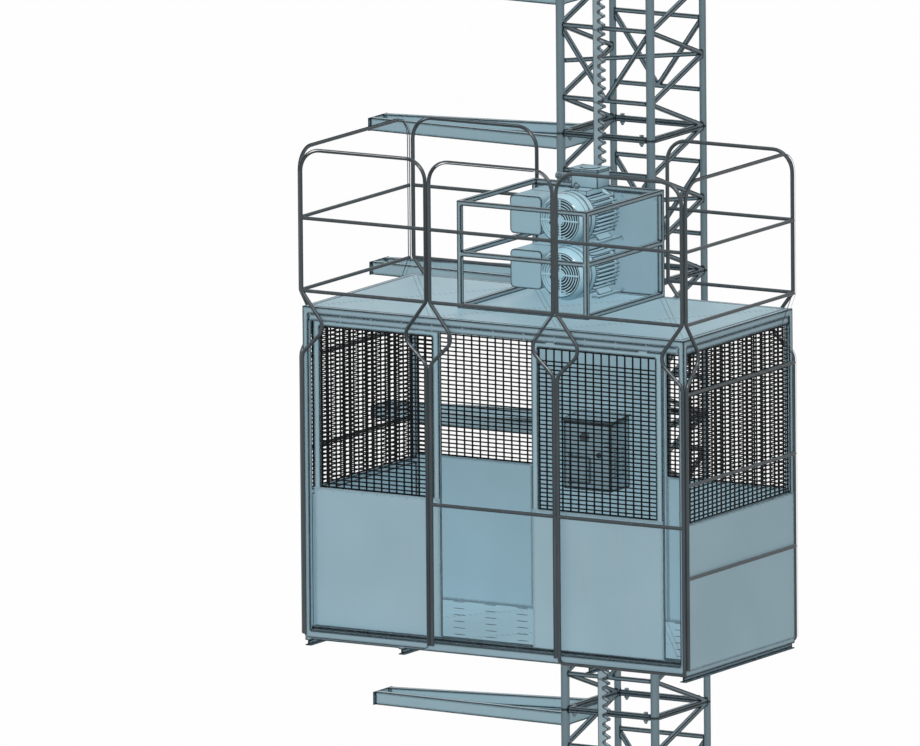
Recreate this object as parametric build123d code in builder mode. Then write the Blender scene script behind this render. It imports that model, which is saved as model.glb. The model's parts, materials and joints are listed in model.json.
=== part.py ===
from build123d import *
from math import acos, cos, pi, radians, sin, sqrt, tan
import os

# Material hoist for goods on a building site: a cage with two door leaves and a motor drive climbs a
# lattice mast on a rack. Millimetres, +Z up. The origin is the centre of the mast at its foot, the cage
# stands on the -Y side of the mast and its doors slide along X.

os.makedirs("parts", exist_ok=True)

# Mast
section_height = 1000
section_count = 6
chord_spacing = 710
front_chord_radius = 30.15
rear_chord_radius = 24.15
lattice_bar = 28
ring_height = 20
ring_width = 30
weld_gap = 0.05

# Joint bolts of the mast
joint_bolt_inset = 72
joint_bolt_radius = 17
joint_bolt_head = 14
foot_hole_radius = 9

# Rack and pinions
teeth_per_section = 16
pinion_teeth = 10
pressure_angle = 25
addendum_ratio = 0.85
dedendum_ratio = 1.1
backlash = 1.0
flank_steps = 3
rack_joint_gap = 0.2
rack_back_y = -400
rack_thickness = 40
rack_edge_x = -48
drive_axis_x = 112.5
lower_drive_z = 4178
drive_pitches_apart = 6
pinion_shaft_radius = 25
shaft_clearance = 0.05
shaft_end_gap = 3

# Tie arms
arm_drop = 15
arm_height = 90
arm_flange = 45
arm_thickness = 8
arm_reach = 1930
arm_wall_near_y = -250
arm_wall_far_y = -40
arm_near_chord_gap = 37
arm_far_chord_gap = 110
arm_beam_width = 32
arm_beam_gap = 3

# Cage body
cage_length = 3000
cage_depth = 1470
cage_centre_x = 115
cage_rear_y = -620
base_bottom = 1682
floor_top = 1745
fascia_bottom = 3889
roof_beam_bottom = 3938
roof_top = 3985
frame_tube = 42
fascia_set_back = 6
fascia_thickness = 6
bay_line_left = -385
bay_line_right = 615
rear_post_width = 42
rear_post_depth = 25
panel_top = 2720
rear_rail_height = 25
end_rail_height = 40
beam_bays = 4
beams_at = (0, 1, 3, 4)
beam_height = 44
beam_width = 46
beam_web = 7
beam_flange = 7
floor_thickness = 5
roof_thickness = 4
brace_width = 40
brace_thickness = 6
sheet_thickness = 3
sheet_bottom_outside = 1707
mesh_thickness = 5
mesh_inset = 15
mesh_wire = 7
end_mesh_gaps = (5, 5)
bay_mesh_gaps = (4, 4)
panel_left = -431
panel_right = 637

# Guard loops of bent tube round the cage
tube_radius = 13.5
tube_sides = 8
loop_corner_inset = 19.5
loop_bay_inset = 15
loop_bottom = 1692
loop_shoulder = 3665
loop_dip_z = 3845
loop_dip = 190
loop_lower_rail = 4094
loop_middle_rail = 4595
loop_top = 5069
bottom_bend = 0
shoulder_bend = 80
dip_bend = 90
neck_bend = 40
top_bend = 150
chord_turn = 45
bay_bar = 2700
end_bars = (3616, 2989, 2349)

# Doors
left_leaf_start = -1341
left_leaf_width = 993
left_leaf_y = -2012.5
right_leaf_start = 403
right_leaf_width = 1026
right_leaf_y = -2052.5
leaf_thickness = 25
leaf_bottom = 1757
leaf_top = 3885
leaf_stile = 50
leaf_rail = 40
leaf_mesh_bottom = 2730
leaf_sheet = 2
track_wall = 4
track_height = 44
track_slot = 33
hanger_length = 70
hanger_height = 34
hanger_inset = 150
leaf_gap = 0.3
sill_width = 100
sill_rib = 4
sill_rib_height = 20

# Guide frame and rollers on the back of the cage
guide_post_inner = 319
guide_post_outer = 383
guide_post_depth = 120
guide_post_bottom = 1690
guide_post_top = 4700
guide_beam_depth = 60
guide_beams = ((1700, 1780), (3890, 3980), (4340, 4400), (4640, 4700))
roller_offset = 75
roller_gap = 0.3
roller_width = 50
roller_sides = 16
groove_slope = 36
roller_pin_radius = 12
front_roller_levels = (2000, 4580)
outer_roller_levels = (2160, 4420)
cheek_thickness = 8
cheek_gap = 3
cheek_height = 76
cheek_reach = 22
outrigger_thickness = 12
outrigger_height = 90
outrigger_end = 30
stub_width = 36
pin_nut_radius = 20
pin_nut = 4
roller_side_gap = 0.5
cheek_lap = 30
spacer_levels = ((4040, 4100), (4640, 4690))

# Drive
plate_front_y = -653
plate_thickness = 16
plate_left = -375
plate_right = 585
plate_bottom = 3990
plate_top = 4690
housing_half = 62
housing_end_y = -480
guard_tube = 32
guard_left = -391
guard_right = 601
guard_front = -1655
guard_rear = -645
guard_bottom = 4001
guard_middle = 4360
guard_top = 4710

# Motors
flange_half = 134
flange_thickness = 17
motor_radius = 132
motor_front_y = -1006
fin_pitch = 29
fin_count = 5
fin_thickness = 9
fin_reach = 196
foot_reach = 200
foot_drop = 175
foot_thickness = 12
foot_knee = 150
leg_top_x = 85
leg_top_drop = 95
pad_half_width = 70
pad_top = 174
cowl_radius = 185
cowl_wall = 4
cowl_sides = 24
cowl_skirt_end_y = -1066
cowl_shoulder_y = -1130
cowl_shoulder_radius = 176
grille_y = -1177
grille_radius = 152
grille_thickness = 5
grille_slots = ((48, 68), (92, 112))
grille_slots_round = 4
slot_span = 66
slot_steps = 3
fan_shaft_radius = 14
fan_shaft_rear_y = -966
fan_hub_radius = 38
fan_radius = 138
fan_blades = 6
fan_rear_y = -1050
fan_front_y = -1120
fan_blade_thickness = 8

# Gear cases
gear_case_left = -335
gear_case_right = -87
gear_case_height = 266
gear_case_front_y = -1080
gear_case_edge = 30

# Terminal box
box_left = 3
box_right = 213
box_rear_y = -670
box_front_y = -835
box_top = 4840
lid_overhang = 13
lid_thickness = 20

# Control cabinet
cabinet_left = -30
cabinet_right = 340
cabinet_front_y = -900
cabinet_bottom = 2650
cabinet_top = 3120
cabinet_wall = 5
cabinet_cover = 10
cabinet_cover_rise = 25
cabinet_cover_overhang = 15
cabinet_door_left = 24
cabinet_door_right = 180
cabinet_door_bottom = 2700
cabinet_door_top = 2880
cabinet_door_thickness = 6
cabinet_door_lap = 8
hinge_radius = 5
button_x = 136
button_z = 3020
button_radius = 27
button_height = 20
button_stem = 18
button_travel = 6
knob_x = 250
knob_z = 2900
knob_radius = 18
knob_height = 14
knob_grip = 8
knob_stem_radius = 8
knob_sides = 20
stem_depth = 20

# Places that follow from the sizes above
chord = chord_spacing / 2
tooth_pitch = section_height / teeth_per_section
gear_module = tooth_pitch / pi
pitch_radius = pinion_teeth * gear_module / 2
addendum = addendum_ratio * gear_module
dedendum = dedendum_ratio * gear_module
rack_pitch_x = drive_axis_x - pitch_radius
drive_levels = (lower_drive_z, lower_drive_z + drive_pitches_apart * tooth_pitch)
cage_left = cage_centre_x - cage_length / 2
cage_right = cage_centre_x + cage_length / 2
cage_front_y = cage_rear_y - cage_depth
inner_left = cage_left + frame_tube
inner_right = cage_right - frame_tube
inner_front = cage_front_y + frame_tube
inner_rear = cage_rear_y - frame_tube
wall_y = cage_rear_y - rear_post_depth
groove_radius = front_chord_radius + roller_gap
roller_throat_radius = roller_offset - groove_radius
roller_throat = groove_radius * tan(radians(groove_slope / 2))
roller_edge = roller_throat_radius + (roller_width / 2 - roller_throat) * tan(radians(groove_slope))
guide_post_rear_y = cage_rear_y + guide_post_depth
plate_rear_y = plate_front_y + plate_thickness
pinion_front_y = rack_back_y - rack_thickness
arm_beam_right = -(chord + ring_width / 2 + arm_beam_gap)
arm_beam_left = arm_beam_right - arm_beam_width
arm_end_x = -arm_reach - arm_thickness
arm_mast_near_y = -(chord - arm_near_chord_gap)
arm_mast_far_y = chord - arm_far_chord_gap


def block(x, y, z, mode=Mode.ADD):
    """A rectangular block between pairs of X, Y and Z limits."""
    with BuildSketch(Plane.XY.offset(min(z))) as profile:
        with Locations((sum(x) / 2, sum(y) / 2)):
            Rectangle(abs(x[1] - x[0]), abs(y[1] - y[0]))
    extrude(profile.sketch, amount=abs(z[1] - z[0]), mode=mode)


def bar(start, end, across, width, depth):
    """A straight bar from start to end, its width along the direction across."""
    start, end = Vector(*start), Vector(*end)
    with BuildSketch(Plane(origin=start, x_dir=Vector(*across), z_dir=end - start)) as profile:
        Rectangle(width, depth)
    extrude(profile.sketch, amount=(end - start).length)


def rod(start, end, radius, mode=Mode.ADD):
    """A round rod from start to end."""
    start, end = Vector(*start), Vector(*end)
    with BuildSketch(Plane(origin=start, z_dir=end - start)) as profile:
        Circle(radius)
    extrude(profile.sketch, amount=(end - start).length, mode=mode)


def frustum(start, end, start_radius, end_radius, sides, mode=Mode.ADD):
    """A many-sided frustum from start to end, its radii measured to its corners."""
    start, end = Vector(*start), Vector(*end)
    rings = []
    for centre, radius in ((start, start_radius), (end, end_radius)):
        plane = Plane(origin=centre, z_dir=end - start)
        turns = [2 * pi * number / sides for number in range(sides)]
        rings.append(
            [plane.from_local_coords((radius * cos(turn), radius * sin(turn), 0)) for turn in turns]
        )
    near, far = rings
    faces = [Face(Wire.make_polygon(ring)) for ring in rings]
    for number in range(sides):
        other = (number + 1) % sides
        faces.append(Face(Wire.make_polygon([near[number], near[other], far[other], far[number]])))
    add(Solid(Shell(faces)), mode=mode)


def save(piece, name):
    """Label a finished piece and write its file."""
    piece.label = name
    export_step(piece, f"parts/{name}.step")


# The mast sections


def mast_section(bottom):
    """One welded mast section: chord tubes, end rings, horizontals, V braces and side zigzags."""
    top = bottom + section_height
    quarter = section_height / 4
    with BuildPart() as section:
        for x in (-chord, chord):
            for step in range(4):
                y = chord if step % 2 == 0 else -chord
                low, high = bottom + step * quarter, bottom + (step + 1) * quarter
                bar((x, y, low), (x, -y, high), (1, 0, 0), lattice_bar, lattice_bar)
        split(bisect_by=Plane.XY.offset(bottom), keep=Keep.TOP)
        split(bisect_by=Plane.XY.offset(top), keep=Keep.BOTTOM)
        for y in (-chord, chord):
            for z in (bottom + quarter, top - quarter):
                bar((-chord, y, z), (chord, y, z), (0, 1, 0), lattice_bar, lattice_bar)
            for x in (-chord, chord):
                bar((x, y, top - quarter), (0, y, bottom + quarter), (0, 1, 0), lattice_bar, lattice_bar)
        for z in (bottom, top - ring_height):
            with BuildSketch(Plane.XY.offset(z)) as ring:
                Rectangle(chord_spacing + ring_width, chord_spacing + ring_width)
                Rectangle(chord_spacing - ring_width, chord_spacing - ring_width, mode=Mode.SUBTRACT)
            extrude(ring.sketch, amount=ring_height)
        for y, radius in ((-chord, front_chord_radius), (chord, rear_chord_radius)):
            side = 2 * (radius + weld_gap)
            with BuildSketch(Plane.XY.offset(bottom)) as seat:
                with Locations((-chord, y), (chord, y)):
                    Rectangle(side, side)
            extrude(seat.sketch, amount=section_height, mode=Mode.SUBTRACT)
        # The plan brace from the front left chord to the back right chord
        half = bottom + section_height / 2
        near = chord - (front_chord_radius + weld_gap) / sqrt(2)
        far = chord - (rear_chord_radius + weld_gap) / sqrt(2)
        bar((-near, -near, half), (far, far, half), (0, 0, 1), lattice_bar, lattice_bar)
        # Pads that carry the rack, on the front horizontals
        for z in (bottom + quarter, top - quarter):
            block(
                (rack_edge_x + 3, rack_pitch_x - dedendum - 3),
                (-chord - lattice_bar / 2, rack_back_y),
                (z - lattice_bar / 2, z + lattice_bar / 2),
            )
        # Lugs that carry the tie arm, under the left side of the top ring
        lug_top = top - ring_height
        for y in (arm_mast_near_y + 60, arm_mast_far_y - 15):
            block(
                (-chord + ring_width / 2, arm_beam_left),
                (y - 25, y + 25),
                (lug_top - arm_drop, lug_top),
            )
        for y, radius in ((-chord, front_chord_radius), (chord, rear_chord_radius)):
            with BuildSketch(Plane.XY.offset(bottom)) as chords:
                with Locations((-chord, y), (chord, y)):
                    Circle(radius)
            extrude(chords.sketch, amount=section_height)
    return section.part


upper_section = mast_section(0)
for number in range(1, section_count):
    save(upper_section.moved(Location((0, 0, number * section_height))), f"mast_section_{number + 1}")

# The lowest section is open for its foot bolts, beside each chord
bolt_places = [
    (x, y) for x in (-chord + joint_bolt_inset, chord - joint_bolt_inset) for y in (-chord, chord)
]
with BuildPart() as foot_section:
    add(upper_section)
    with BuildSketch(Plane.XY) as foot_holes:
        with Locations(*bolt_places):
            Circle(foot_hole_radius)
    extrude(foot_holes.sketch, amount=ring_height, mode=Mode.SUBTRACT)
save(foot_section.part, "mast_section_1")

# The bolts that hold section to section, beside each chord, their heads on the upper section's lower ring

with BuildPart() as mast_joint_bolts:
    for number in range(1, section_count):
        with BuildSketch(Plane.XY.offset(number * section_height + ring_height)) as heads:
            with Locations(*bolt_places):
                RegularPolygon(joint_bolt_radius, 6)
        extrude(heads.sketch, amount=joint_bolt_head)
save(mast_joint_bolts.part, "mast_joint_bolts")

# The rack: one toothed bar a section, its teeth towards +X

half_tooth = tooth_pitch / 4 - backlash / 2
lean = tan(radians(pressure_angle))
root_x = rack_pitch_x - dedendum
tip_x = rack_pitch_x + addendum
rack_ends = (rack_joint_gap / 2, section_height - rack_joint_gap / 2)
rack_outline = [(rack_edge_x, rack_ends[0]), (root_x, rack_ends[0])]
for number in range(teeth_per_section):
    middle = (number + 0.5) * tooth_pitch
    at_root = half_tooth + dedendum * lean
    at_tip = half_tooth - addendum * lean
    rack_outline += [
        (root_x, middle - at_root),
        (tip_x, middle - at_tip),
        (tip_x, middle + at_tip),
        (root_x, middle + at_root),
    ]
rack_outline += [(root_x, rack_ends[1]), (rack_edge_x, rack_ends[1])]

with BuildPart() as rack_bars:
    for number in range(section_count):
        foot = Plane(
            origin=(0, rack_back_y, number * section_height), x_dir=(1, 0, 0), z_dir=(0, -1, 0)
        )
        with BuildSketch(foot) as profile:
            with BuildLine():
                Polyline(*rack_outline, close=True)
            make_face()
        extrude(profile.sketch, amount=rack_thickness)
save(rack_bars.part, "rack_bars")

# The tie arms: two channels, a wall plate and a beam along the mast, at each joint


def channel(start, end, flange_side):
    """A channel from start to end with its web outside and its flanges towards flange_side."""
    start, end = Vector(*start), Vector(*end)
    plane = Plane(origin=start, x_dir=Vector(0, flange_side, 0), z_dir=end - start)
    up = 1 if plane.y_dir.Z > 0 else -1
    corners = [
        (0, 0),
        (arm_flange, 0),
        (arm_flange, arm_thickness),
        (arm_thickness, arm_thickness),
        (arm_thickness, arm_height - arm_thickness),
        (arm_flange, arm_height - arm_thickness),
        (arm_flange, arm_height),
        (0, arm_height),
    ]
    with BuildSketch(plane) as profile:
        with BuildLine():
            Polyline(*[(x, up * z) for x, z in corners], close=True)
        make_face()
    extrude(profile.sketch, amount=(end - start).length)


with BuildPart() as tie_arms:
    for number in range(1, section_count + 1):
        top = number * section_height - ring_height - arm_drop
        low = top - arm_height
        channel((arm_end_x, arm_wall_near_y, low), (arm_beam_left, arm_mast_near_y, low), 1)
        channel((arm_end_x, arm_wall_far_y, low), (arm_beam_left, arm_mast_far_y, low), -1)
        block((arm_beam_left, arm_beam_right), (arm_mast_near_y, arm_mast_far_y), (low, top))
        wall_plate_y = (arm_wall_near_y - 20, arm_wall_far_y + 20)
        block((arm_end_x, -arm_reach), wall_plate_y, (low, top))
    split(bisect_by=Plane.YZ.offset(arm_end_x), keep=Keep.TOP)
save(tie_arms.part, "tie_arms")

# The cage frame: base beams, corner posts, roof beams, fascia, rails and floor beams

bays = (
    (inner_left, bay_line_left),
    (bay_line_left, bay_line_right),
    (bay_line_right, inner_right),
)

with BuildPart() as cage_frame:
    for low, high, inset, thickness in (
        (base_bottom, floor_top, 0, frame_tube),
        (roof_beam_bottom, roof_top, 0, frame_tube),
        (fascia_bottom, roof_beam_bottom, fascia_set_back, fascia_thickness),
    ):
        length, depth = cage_length - 2 * inset, cage_depth - 2 * inset
        with BuildSketch(Plane.XY.offset(low)) as rim:
            with Locations((cage_centre_x, cage_rear_y - cage_depth / 2)):
                Rectangle(length, depth)
                Rectangle(length - 2 * thickness, depth - 2 * thickness, mode=Mode.SUBTRACT)
        extrude(rim.sketch, amount=high - low)
    for x in ((cage_left, inner_left), (inner_right, cage_right)):
        for y in ((cage_front_y, inner_front), (inner_rear, cage_rear_y)):
            block(x, y, (floor_top, roof_beam_bottom))
        # A rail across each end, where its sheet ends and its mesh starts
        block(x, (inner_front, inner_rear), (panel_top - end_rail_height, panel_top))
    for x in (bay_line_left, bay_line_right):
        post = (x - rear_post_width / 2, x + rear_post_width / 2)
        block(post, (wall_y, cage_rear_y), (floor_top, roof_beam_bottom))
    for x in (
        (inner_left, bay_line_left - rear_post_width / 2),
        (bay_line_right + rear_post_width / 2, inner_right),
    ):
        block(x, (wall_y, cage_rear_y), (panel_top, panel_top + rear_rail_height))
    # Floor beams of I section, with none at the middle
    beam_step = (cage_length - beam_width) / beam_bays
    hollow_width = (beam_width - beam_web) / 2
    for number in beams_at:
        x = cage_left + beam_width / 2 + number * beam_step
        with BuildSketch(Plane.XZ.offset(-cage_rear_y)) as section:
            with Locations((x, base_bottom - beam_height / 2)):
                Rectangle(beam_width, beam_height)
            for side in (-1, 1):
                hollow_x = x + side * (beam_width - hollow_width) / 2
                with Locations((hollow_x, base_bottom - beam_height / 2)):
                    Rectangle(hollow_width, beam_height - 2 * beam_flange, mode=Mode.SUBTRACT)
        extrude(section.sketch, amount=cage_depth)
    # Crossed flat braces that carry the floor plate and the roof plate
    for plate_underside in (floor_top - floor_thickness, roof_top - roof_thickness):
        middle = plate_underside - brace_thickness / 2
        for left, right in bays:
            for y0, y1 in ((inner_front, inner_rear), (inner_rear, inner_front)):
                bar((left, y0, middle), (right, y1, middle), (0, 0, 1), brace_thickness, brace_width)
save(cage_frame.part, "cage_frame")

# Floor and roof plates, inside the rims

for name, top, thickness in (
    ("floor_plate", floor_top, floor_thickness),
    ("roof_plate", roof_top, roof_thickness),
):
    with BuildPart() as plate:
        block((inner_left, inner_right), (inner_front, inner_rear), (top - thickness, top))
    save(plate.part, name)

# The guard loops


def bent(corners, radii):
    """The points of a closed outline whose bends are drawn as short chords."""
    corners = [Vector(*corner) for corner in corners]
    points = []
    for number, (corner, radius) in enumerate(zip(corners, radii)):
        if radius == 0:
            points.append(corner)
            continue
        back = (corners[number - 1] - corner).normalized()
        ahead = (corners[(number + 1) % len(corners)] - corner).normalized()
        turn = 180 - back.get_angle(ahead)
        centre = corner + (back + ahead).normalized() * (radius / cos(radians(turn / 2)))
        spoke = corner + back * (radius * tan(radians(turn / 2))) - centre
        way = 1 if back.cross(ahead).Z < 0 else -1
        chords = max(1, round(turn / chord_turn))
        for step in range(chords + 1):
            points.append(centre + spoke.rotate(Axis.Z, way * turn * step / chords))
    return [(point.X, point.Y) for point in points]


def guard_loop(origin, along, outward, width, rails):
    """One closed loop of tube in an upright plane, with its rails and wall bars inside it."""
    plane = Plane(origin=(*origin, 0), x_dir=along, z_dir=Vector(*along).cross(Vector(0, 0, 1)))
    sides = [
        (0, loop_bottom),
        (0, loop_shoulder),
        (loop_dip, loop_dip_z),
        (0, loop_lower_rail),
        (0, loop_top),
    ]
    radii = [bottom_bend, shoulder_bend, dip_bend, neck_bend, top_bend]
    corners = sides + [(width - x, z) for x, z in reversed(sides)]
    with BuildPart() as loop:
        with BuildLine(plane) as route:
            Polyline(*bent(corners, radii + radii[::-1]), close=True)
        start = Plane(origin=route.line @ 0, x_dir=outward, z_dir=route.line % 0)
        with BuildSketch(start) as ring:
            RegularPolygon(tube_radius, tube_sides, major_radius=False, rotation=180 / tube_sides)
        sweep(sections=ring.sketch, path=route.line, transition=Transition.RIGHT)
        for z in rails:
            foot = plane.from_local_coords((tube_radius, z, 0))
            with BuildSketch(Plane(origin=foot, x_dir=outward, z_dir=along)) as rail:
                RegularPolygon(tube_radius, tube_sides, major_radius=False, rotation=180 / tube_sides)
            extrude(rail.sketch, amount=width - 2 * tube_radius)
    return loop.part


front_plane_y = cage_front_y - tube_radius
rear_plane_y = cage_rear_y + tube_radius
left_plane_x = cage_left - sheet_thickness - tube_radius
right_plane_x = cage_right + sheet_thickness + tube_radius
upper_rails = (loop_lower_rail, loop_middle_rail)
runs_along_x = {
    "left": (left_plane_x + loop_corner_inset, bay_line_left - loop_bay_inset),
    "middle": (bay_line_left + loop_bay_inset, bay_line_right - loop_bay_inset),
    "right": (bay_line_right + loop_bay_inset, right_plane_x - loop_corner_inset),
}
for side, wall_bars in (("left", ()), ("middle", (bay_bar,)), ("right", (bay_bar,))):
    x0, x1 = runs_along_x[side]
    loop = guard_loop((x0, front_plane_y), (1, 0, 0), (0, -1, 0), x1 - x0, upper_rails + wall_bars)
    save(loop, f"front_loop_{side}")
for side in ("left", "right"):
    x0, x1 = runs_along_x[side]
    loop = guard_loop((x0, rear_plane_y), (1, 0, 0), (0, 1, 0), x1 - x0, upper_rails + (bay_bar,))
    save(loop, f"rear_loop_{side}")
for side, x in (("left", left_plane_x), ("right", right_plane_x)):
    y0, y1 = front_plane_y + loop_corner_inset, rear_plane_y - loop_corner_inset
    loop = guard_loop((x, y0), (0, 1, 0), (1, 0, 0), y1 - y0, upper_rails + end_bars)
    save(loop, f"end_loop_{side}")

# Walls: sheets below, meshes above and a full panel in the middle of the rear


def mesh(plane, width, height, columns, rows):
    """A flat net in a frame opening, its gaps wider than the wires between them."""
    with BuildSketch(plane) as net:
        with Locations((width / 2, height / 2)):
            Rectangle(width, height)
            pitch_x = (width - mesh_wire) / columns
            pitch_z = (height - mesh_wire) / rows
            with GridLocations(pitch_x, pitch_z, columns, rows):
                Rectangle(pitch_x - mesh_wire, pitch_z - mesh_wire, mode=Mode.SUBTRACT)
    extrude(net.sketch, amount=mesh_thickness)


for side, sheet_x, mesh_x in (
    ("left", cage_left - sheet_thickness, cage_left + mesh_inset),
    ("right", cage_right, cage_right - mesh_inset - mesh_thickness),
):
    with BuildPart() as sheet:
        block(
            (sheet_x, sheet_x + sheet_thickness),
            (cage_front_y, cage_rear_y),
            (sheet_bottom_outside, panel_top),
        )
    save(sheet.part, f"{side}_end_sheet")
    with BuildPart() as net:
        corner = Plane(origin=(mesh_x, inner_front, panel_top), x_dir=(0, 1, 0), z_dir=(1, 0, 0))
        mesh(corner, inner_rear - inner_front, roof_beam_bottom - panel_top, *end_mesh_gaps)
    save(net.part, f"{side}_end_mesh")

rear_bays = ((inner_left, panel_left), (panel_right, inner_right))
with BuildPart() as rear_sheets:
    for x in rear_bays:
        block(x, (wall_y - sheet_thickness, wall_y), (floor_top, panel_top + rear_rail_height))
save(rear_sheets.part, "rear_sheets")

mesh_foot = panel_top + rear_rail_height
with BuildPart() as rear_meshes:
    for x0, x1 in (
        (inner_left, bay_line_left - rear_post_width / 2),
        (bay_line_right + rear_post_width / 2, inner_right),
    ):
        corner = Plane(
            origin=(x0, wall_y + mesh_thickness, mesh_foot), x_dir=(1, 0, 0), z_dir=(0, -1, 0)
        )
        mesh(corner, x1 - x0, roof_beam_bottom - mesh_foot, *bay_mesh_gaps)
save(rear_meshes.part, "rear_meshes")

with BuildPart() as rear_centre_panel:
    block((panel_left, panel_right), (wall_y - sheet_thickness, wall_y), (floor_top, roof_beam_bottom))
save(rear_centre_panel.part, "rear_centre_panel")

# The door leaves, their track and their sill


def door_leaf(start, width, middle_y):
    """A leaf frame with a sheet flush with its front below the middle rail, and two hangers on top."""
    front = middle_y - leaf_thickness / 2
    face = Plane(origin=(start, middle_y + leaf_thickness / 2, 0), x_dir=(1, 0, 0), z_dir=(0, -1, 0))
    with BuildPart() as leaf:
        with BuildSketch(face) as outline:
            with Locations((width / 2, (leaf_bottom + leaf_top) / 2)):
                Rectangle(width, leaf_top - leaf_bottom)
            for low, high in (
                (leaf_bottom + leaf_rail, leaf_mesh_bottom - leaf_rail),
                (leaf_mesh_bottom, leaf_top - leaf_rail),
            ):
                with Locations((width / 2, (low + high) / 2)):
                    Rectangle(width - 2 * leaf_stile, high - low, mode=Mode.SUBTRACT)
        extrude(outline.sketch, amount=leaf_thickness)
        block(
            (start + leaf_stile, start + width - leaf_stile),
            (front, front + leaf_sheet),
            (leaf_bottom + leaf_rail, leaf_mesh_bottom - leaf_rail),
        )
        for x in (start + hanger_inset, start + width - hanger_inset):
            block(
                (x - hanger_length / 2, x + hanger_length / 2),
                (front, front + leaf_thickness),
                (leaf_top, leaf_top + hanger_height),
            )
    return leaf.part


for side, start, width, middle_y in (
    ("left", left_leaf_start, left_leaf_width, left_leaf_y),
    ("right", right_leaf_start, right_leaf_width, right_leaf_y),
):
    save(door_leaf(start, width, middle_y), f"door_leaf_{side}")
    with BuildPart() as net:
        corner = Plane(
            origin=(start + leaf_stile, middle_y + mesh_thickness / 2, leaf_mesh_bottom),
            x_dir=(1, 0, 0),
            z_dir=(0, -1, 0),
        )
        mesh(corner, width - 2 * leaf_stile, leaf_top - leaf_rail - leaf_mesh_bottom, *bay_mesh_gaps)
    save(net.part, f"door_mesh_{side}")

track_front = right_leaf_y - track_slot / 2 - track_wall
track_rear = left_leaf_y + track_slot / 2 + track_wall
with BuildPart() as top_door_track:
    track_z = (roof_beam_bottom - track_height, roof_beam_bottom)
    block((inner_left, inner_right), (track_front, track_rear), track_z)
    for middle_y in (left_leaf_y, right_leaf_y):
        block(
            (inner_left, inner_right),
            (middle_y - track_slot / 2, middle_y + track_slot / 2),
            (track_z[0], track_z[1] - track_wall),
            mode=Mode.SUBTRACT,
        )
save(top_door_track.part, "top_door_track")

sill_top = leaf_bottom - leaf_gap
sill_middle = (left_leaf_y + right_leaf_y) / 2
with BuildPart() as door_sill:
    sill_y = (sill_middle - sill_width / 2, sill_middle + sill_width / 2)
    block((inner_left, inner_right), sill_y, (floor_top, sill_top))
    leaf_line_gap = left_leaf_y - right_leaf_y
    for y in (sill_middle - leaf_line_gap, sill_middle, sill_middle + leaf_line_gap):
        block(
            (inner_left, inner_right),
            (y - sill_rib / 2, y + sill_rib / 2),
            (sill_top, sill_top + sill_rib_height),
        )
save(door_sill.part, "door_sill")

# The guide frame on the back of the cage, with the pins of its eight rollers


def outer_pin(side, level):
    """A pin across the outside of a front chord, on a square stub, with a nut behind the roller."""
    x = side * (chord + roller_offset)
    plate_rear = guide_post_rear_y + outrigger_thickness
    roller_y = (-chord - roller_width / 2, -chord + roller_width / 2)
    block(
        (side * guide_post_inner, x + side * outrigger_end),
        (guide_post_rear_y, plate_rear),
        (level - outrigger_height / 2, level + outrigger_height / 2),
    )
    block(
        (x - stub_width / 2, x + stub_width / 2),
        (plate_rear, roller_y[0] - roller_side_gap),
        (level - stub_width / 2, level + stub_width / 2),
    )
    nut_y = roller_y[1] + roller_side_gap
    rod((x, roller_y[0] - roller_side_gap, level), (x, nut_y, level), roller_pin_radius)
    with BuildSketch(Plane.XZ.offset(-nut_y)) as nut:
        with Locations((x, level)):
            RegularPolygon(pin_nut_radius, 6)
    extrude(nut.sketch, amount=-pin_nut)


def front_cheeks(side, level):
    """Two cheeks and the pin between them, in front of a front chord."""
    y = -chord - roller_offset
    half_gap = roller_width / 2 + cheek_gap
    for way in (-1, 1):
        x = side * chord + way * half_gap
        block(
            (x, x + way * cheek_thickness),
            (guide_post_rear_y - cheek_lap, y + cheek_reach),
            (level - cheek_height / 2, level + cheek_height / 2),
        )
    ends = half_gap + cheek_thickness
    rod((side * chord - ends, y, level), (side * chord + ends, y, level), roller_pin_radius)


with BuildPart() as mast_guide_frame:
    for side in (-1, 1):
        block(
            (side * guide_post_inner, side * guide_post_outer),
            (cage_rear_y, guide_post_rear_y),
            (guide_post_bottom, guide_post_top),
        )
        for level in front_roller_levels:
            front_cheeks(side, level)
        for level in outer_roller_levels:
            outer_pin(side, level)
    for z in guide_beams:
        beam_x = (-guide_post_inner, guide_post_inner)
        block(beam_x, (cage_rear_y, cage_rear_y + guide_beam_depth), z)
    for z in spacer_levels:
        block((plate_left, guide_post_outer), (plate_rear_y, cage_rear_y), z)
save(mast_guide_frame.part, "mast_guide_frame")


def guide_roller(centre, along):
    """A roller with a groove round the chord tube it runs on: a flat throat between two slopes."""
    centre, along = Vector(*centre), Vector(*along)
    half = roller_width / 2
    with BuildPart() as roller:
        throat = (roller_throat_radius, roller_throat_radius, roller_sides)
        frustum(centre - along * roller_throat, centre + along * roller_throat, *throat)
        slope = (roller_throat_radius, roller_edge, roller_sides)
        for way in (-1, 1):
            frustum(centre + along * way * roller_throat, centre + along * way * half, *slope)
        bore = roller_pin_radius + shaft_clearance
        rod(centre - along * half, centre + along * half, bore, mode=Mode.SUBTRACT)
    return roller.part


for level_name, level_number in (("lower", 0), ("upper", 1)):
    for side_name, side in (("left", -1), ("right", 1)):
        front_z = front_roller_levels[level_number]
        outer_z = outer_roller_levels[level_number]
        front_roller = guide_roller((side * chord, -chord - roller_offset, front_z), (1, 0, 0))
        save(front_roller, f"front_roller_{side_name}_{level_name}")
        outer_roller = guide_roller((side * (chord + roller_offset), -chord, outer_z), (0, 1, 0))
        save(outer_roller, f"outer_roller_{side_name}_{level_name}")

# The guard rail round the drive, on the roof

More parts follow.
